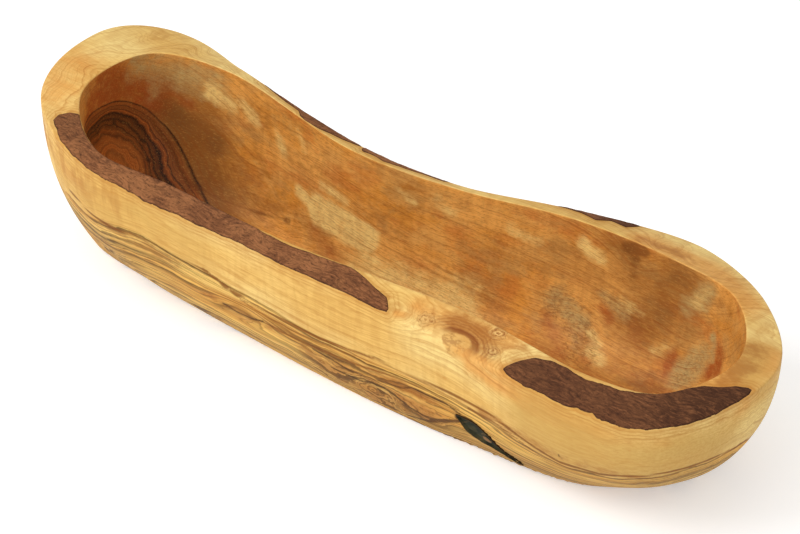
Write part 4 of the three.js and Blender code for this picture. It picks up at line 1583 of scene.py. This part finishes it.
class BOWL_OT_materials(bpy.types.Operator):
    """Builds the shared node groups and the bowl's materials."""

    bl_idname = "bowl.materials"
    bl_label = "Mix finishes"

    def execute(self, context):
        build_growth_rings()
        build_knot()
        build_growth_lines()
        build_grain()
        build_relief()
        colors = palette()
        olive_outside(colors)
        olive_inside(colors)
        bark_material(colors)
        pocket_material(colors)
        return {"FINISHED"}


class BOWL_OT_body(bpy.types.Operator):
    """Carves the bowl itself: foot, wall, rim and hollow in one closed mesh."""

    bl_idname = "bowl.body"
    bl_label = "Carve bowl"

    def execute(self, context):
        sizes = context.scene.bowl_sizes
        piece = make_bowl(sizes)
        paint_stains(piece)
        paint_halo(piece, sizes.edge_round / MM)
        finish_surface(piece, "olive wood, sanded", "olive wood, oiled",
                       (sizes.hand_finish, 28.0), (0.0, 300.0))
        settle(piece, "wood", "bowl_body")
        return {"FINISHED"}


class BOWL_OT_bark(bpy.types.Operator):
    """Lays each patch of bark on the rim."""

    bl_idname = "bowl.bark"
    bl_label = "Lay bark"

    def execute(self, context):
        sizes = context.scene.bowl_sizes
        relief = sizes.bark_relief
        for name in BARK_PATCHES:
            piece = make_bark(name, sizes.edge_round / MM)
            piece.name = name.replace("bark_", "bark_strip_")
            finish_surface(piece, "olive bark, sanded", "olive bark, sanded",
                           (relief, 220.0), (relief, 900.0))
            settle(piece, "bark", name)
        return {"FINISHED"}


class BOWL_OT_pocket(bpy.types.Operator):
    """Fills the pocket of ingrown bark low on the front wall."""

    bl_idname = "bowl.pocket"
    bl_label = "Fill pocket"

    def execute(self, context):
        piece = make_pocket()
        finish_surface(piece, "ingrown bark", "ingrown bark", (0.4 * MM, 260.0), (0.2 * MM, 900.0))
        settle(piece, "pocket", "bark_pocket")
        return {"FINISHED"}


class BOWL_OT_stage(bpy.types.Operator):
    """Sets the floor, the soft studio light and the photograph's camera."""

    bl_idname = "bowl.stage"
    bl_label = "Set stage"

    def execute(self, context):
        make_floor()
        make_world(context.scene)
        for name, place, size, power in LAMPS:
            make_lamp(name, place, size, power)
        make_camera(context.scene)
        context.scene.view_settings.view_transform = "Standard"
        return {"FINISHED"}


class BOWL_PT_panel(bpy.types.Panel):
    """Lists the bowl's sizes, colours and steps."""

    bl_label = "Bread Bowl"
    bl_idname = "BOWL_PT_panel"
    bl_space_type = "VIEW_3D"
    bl_region_type = "UI"
    bl_category = "Bread Bowl"

    def draw(self, context):
        for group in (context.scene.bowl_sizes, context.scene.bowl_colors):
            for name in type(group).__annotations__:
                self.layout.prop(group, name)
        for step in STEPS:
            self.layout.operator(step.bl_idname)


STEPS = (BOWL_OT_materials, BOWL_OT_body, BOWL_OT_bark, BOWL_OT_pocket, BOWL_OT_stage)
CLASSES = (BowlSizes, BowlColors, *STEPS, BOWL_PT_panel)


def register():
    for cls in CLASSES:
        bpy.utils.register_class(cls)
    bpy.types.Scene.bowl_sizes = bpy.props.PointerProperty(type=BowlSizes)
    bpy.types.Scene.bowl_colors = bpy.props.PointerProperty(type=BowlColors)


def unregister():
    del bpy.types.Scene.bowl_colors
    del bpy.types.Scene.bowl_sizes
    for cls in reversed(CLASSES):
        bpy.utils.unregister_class(cls)


def main():
    register()
    bpy.ops.bowl.materials()
    bpy.ops.bowl.body()
    bpy.ops.bowl.bark()
    bpy.ops.bowl.pocket()
    bpy.ops.bowl.stage()


if __name__ == "__main__":
    main()
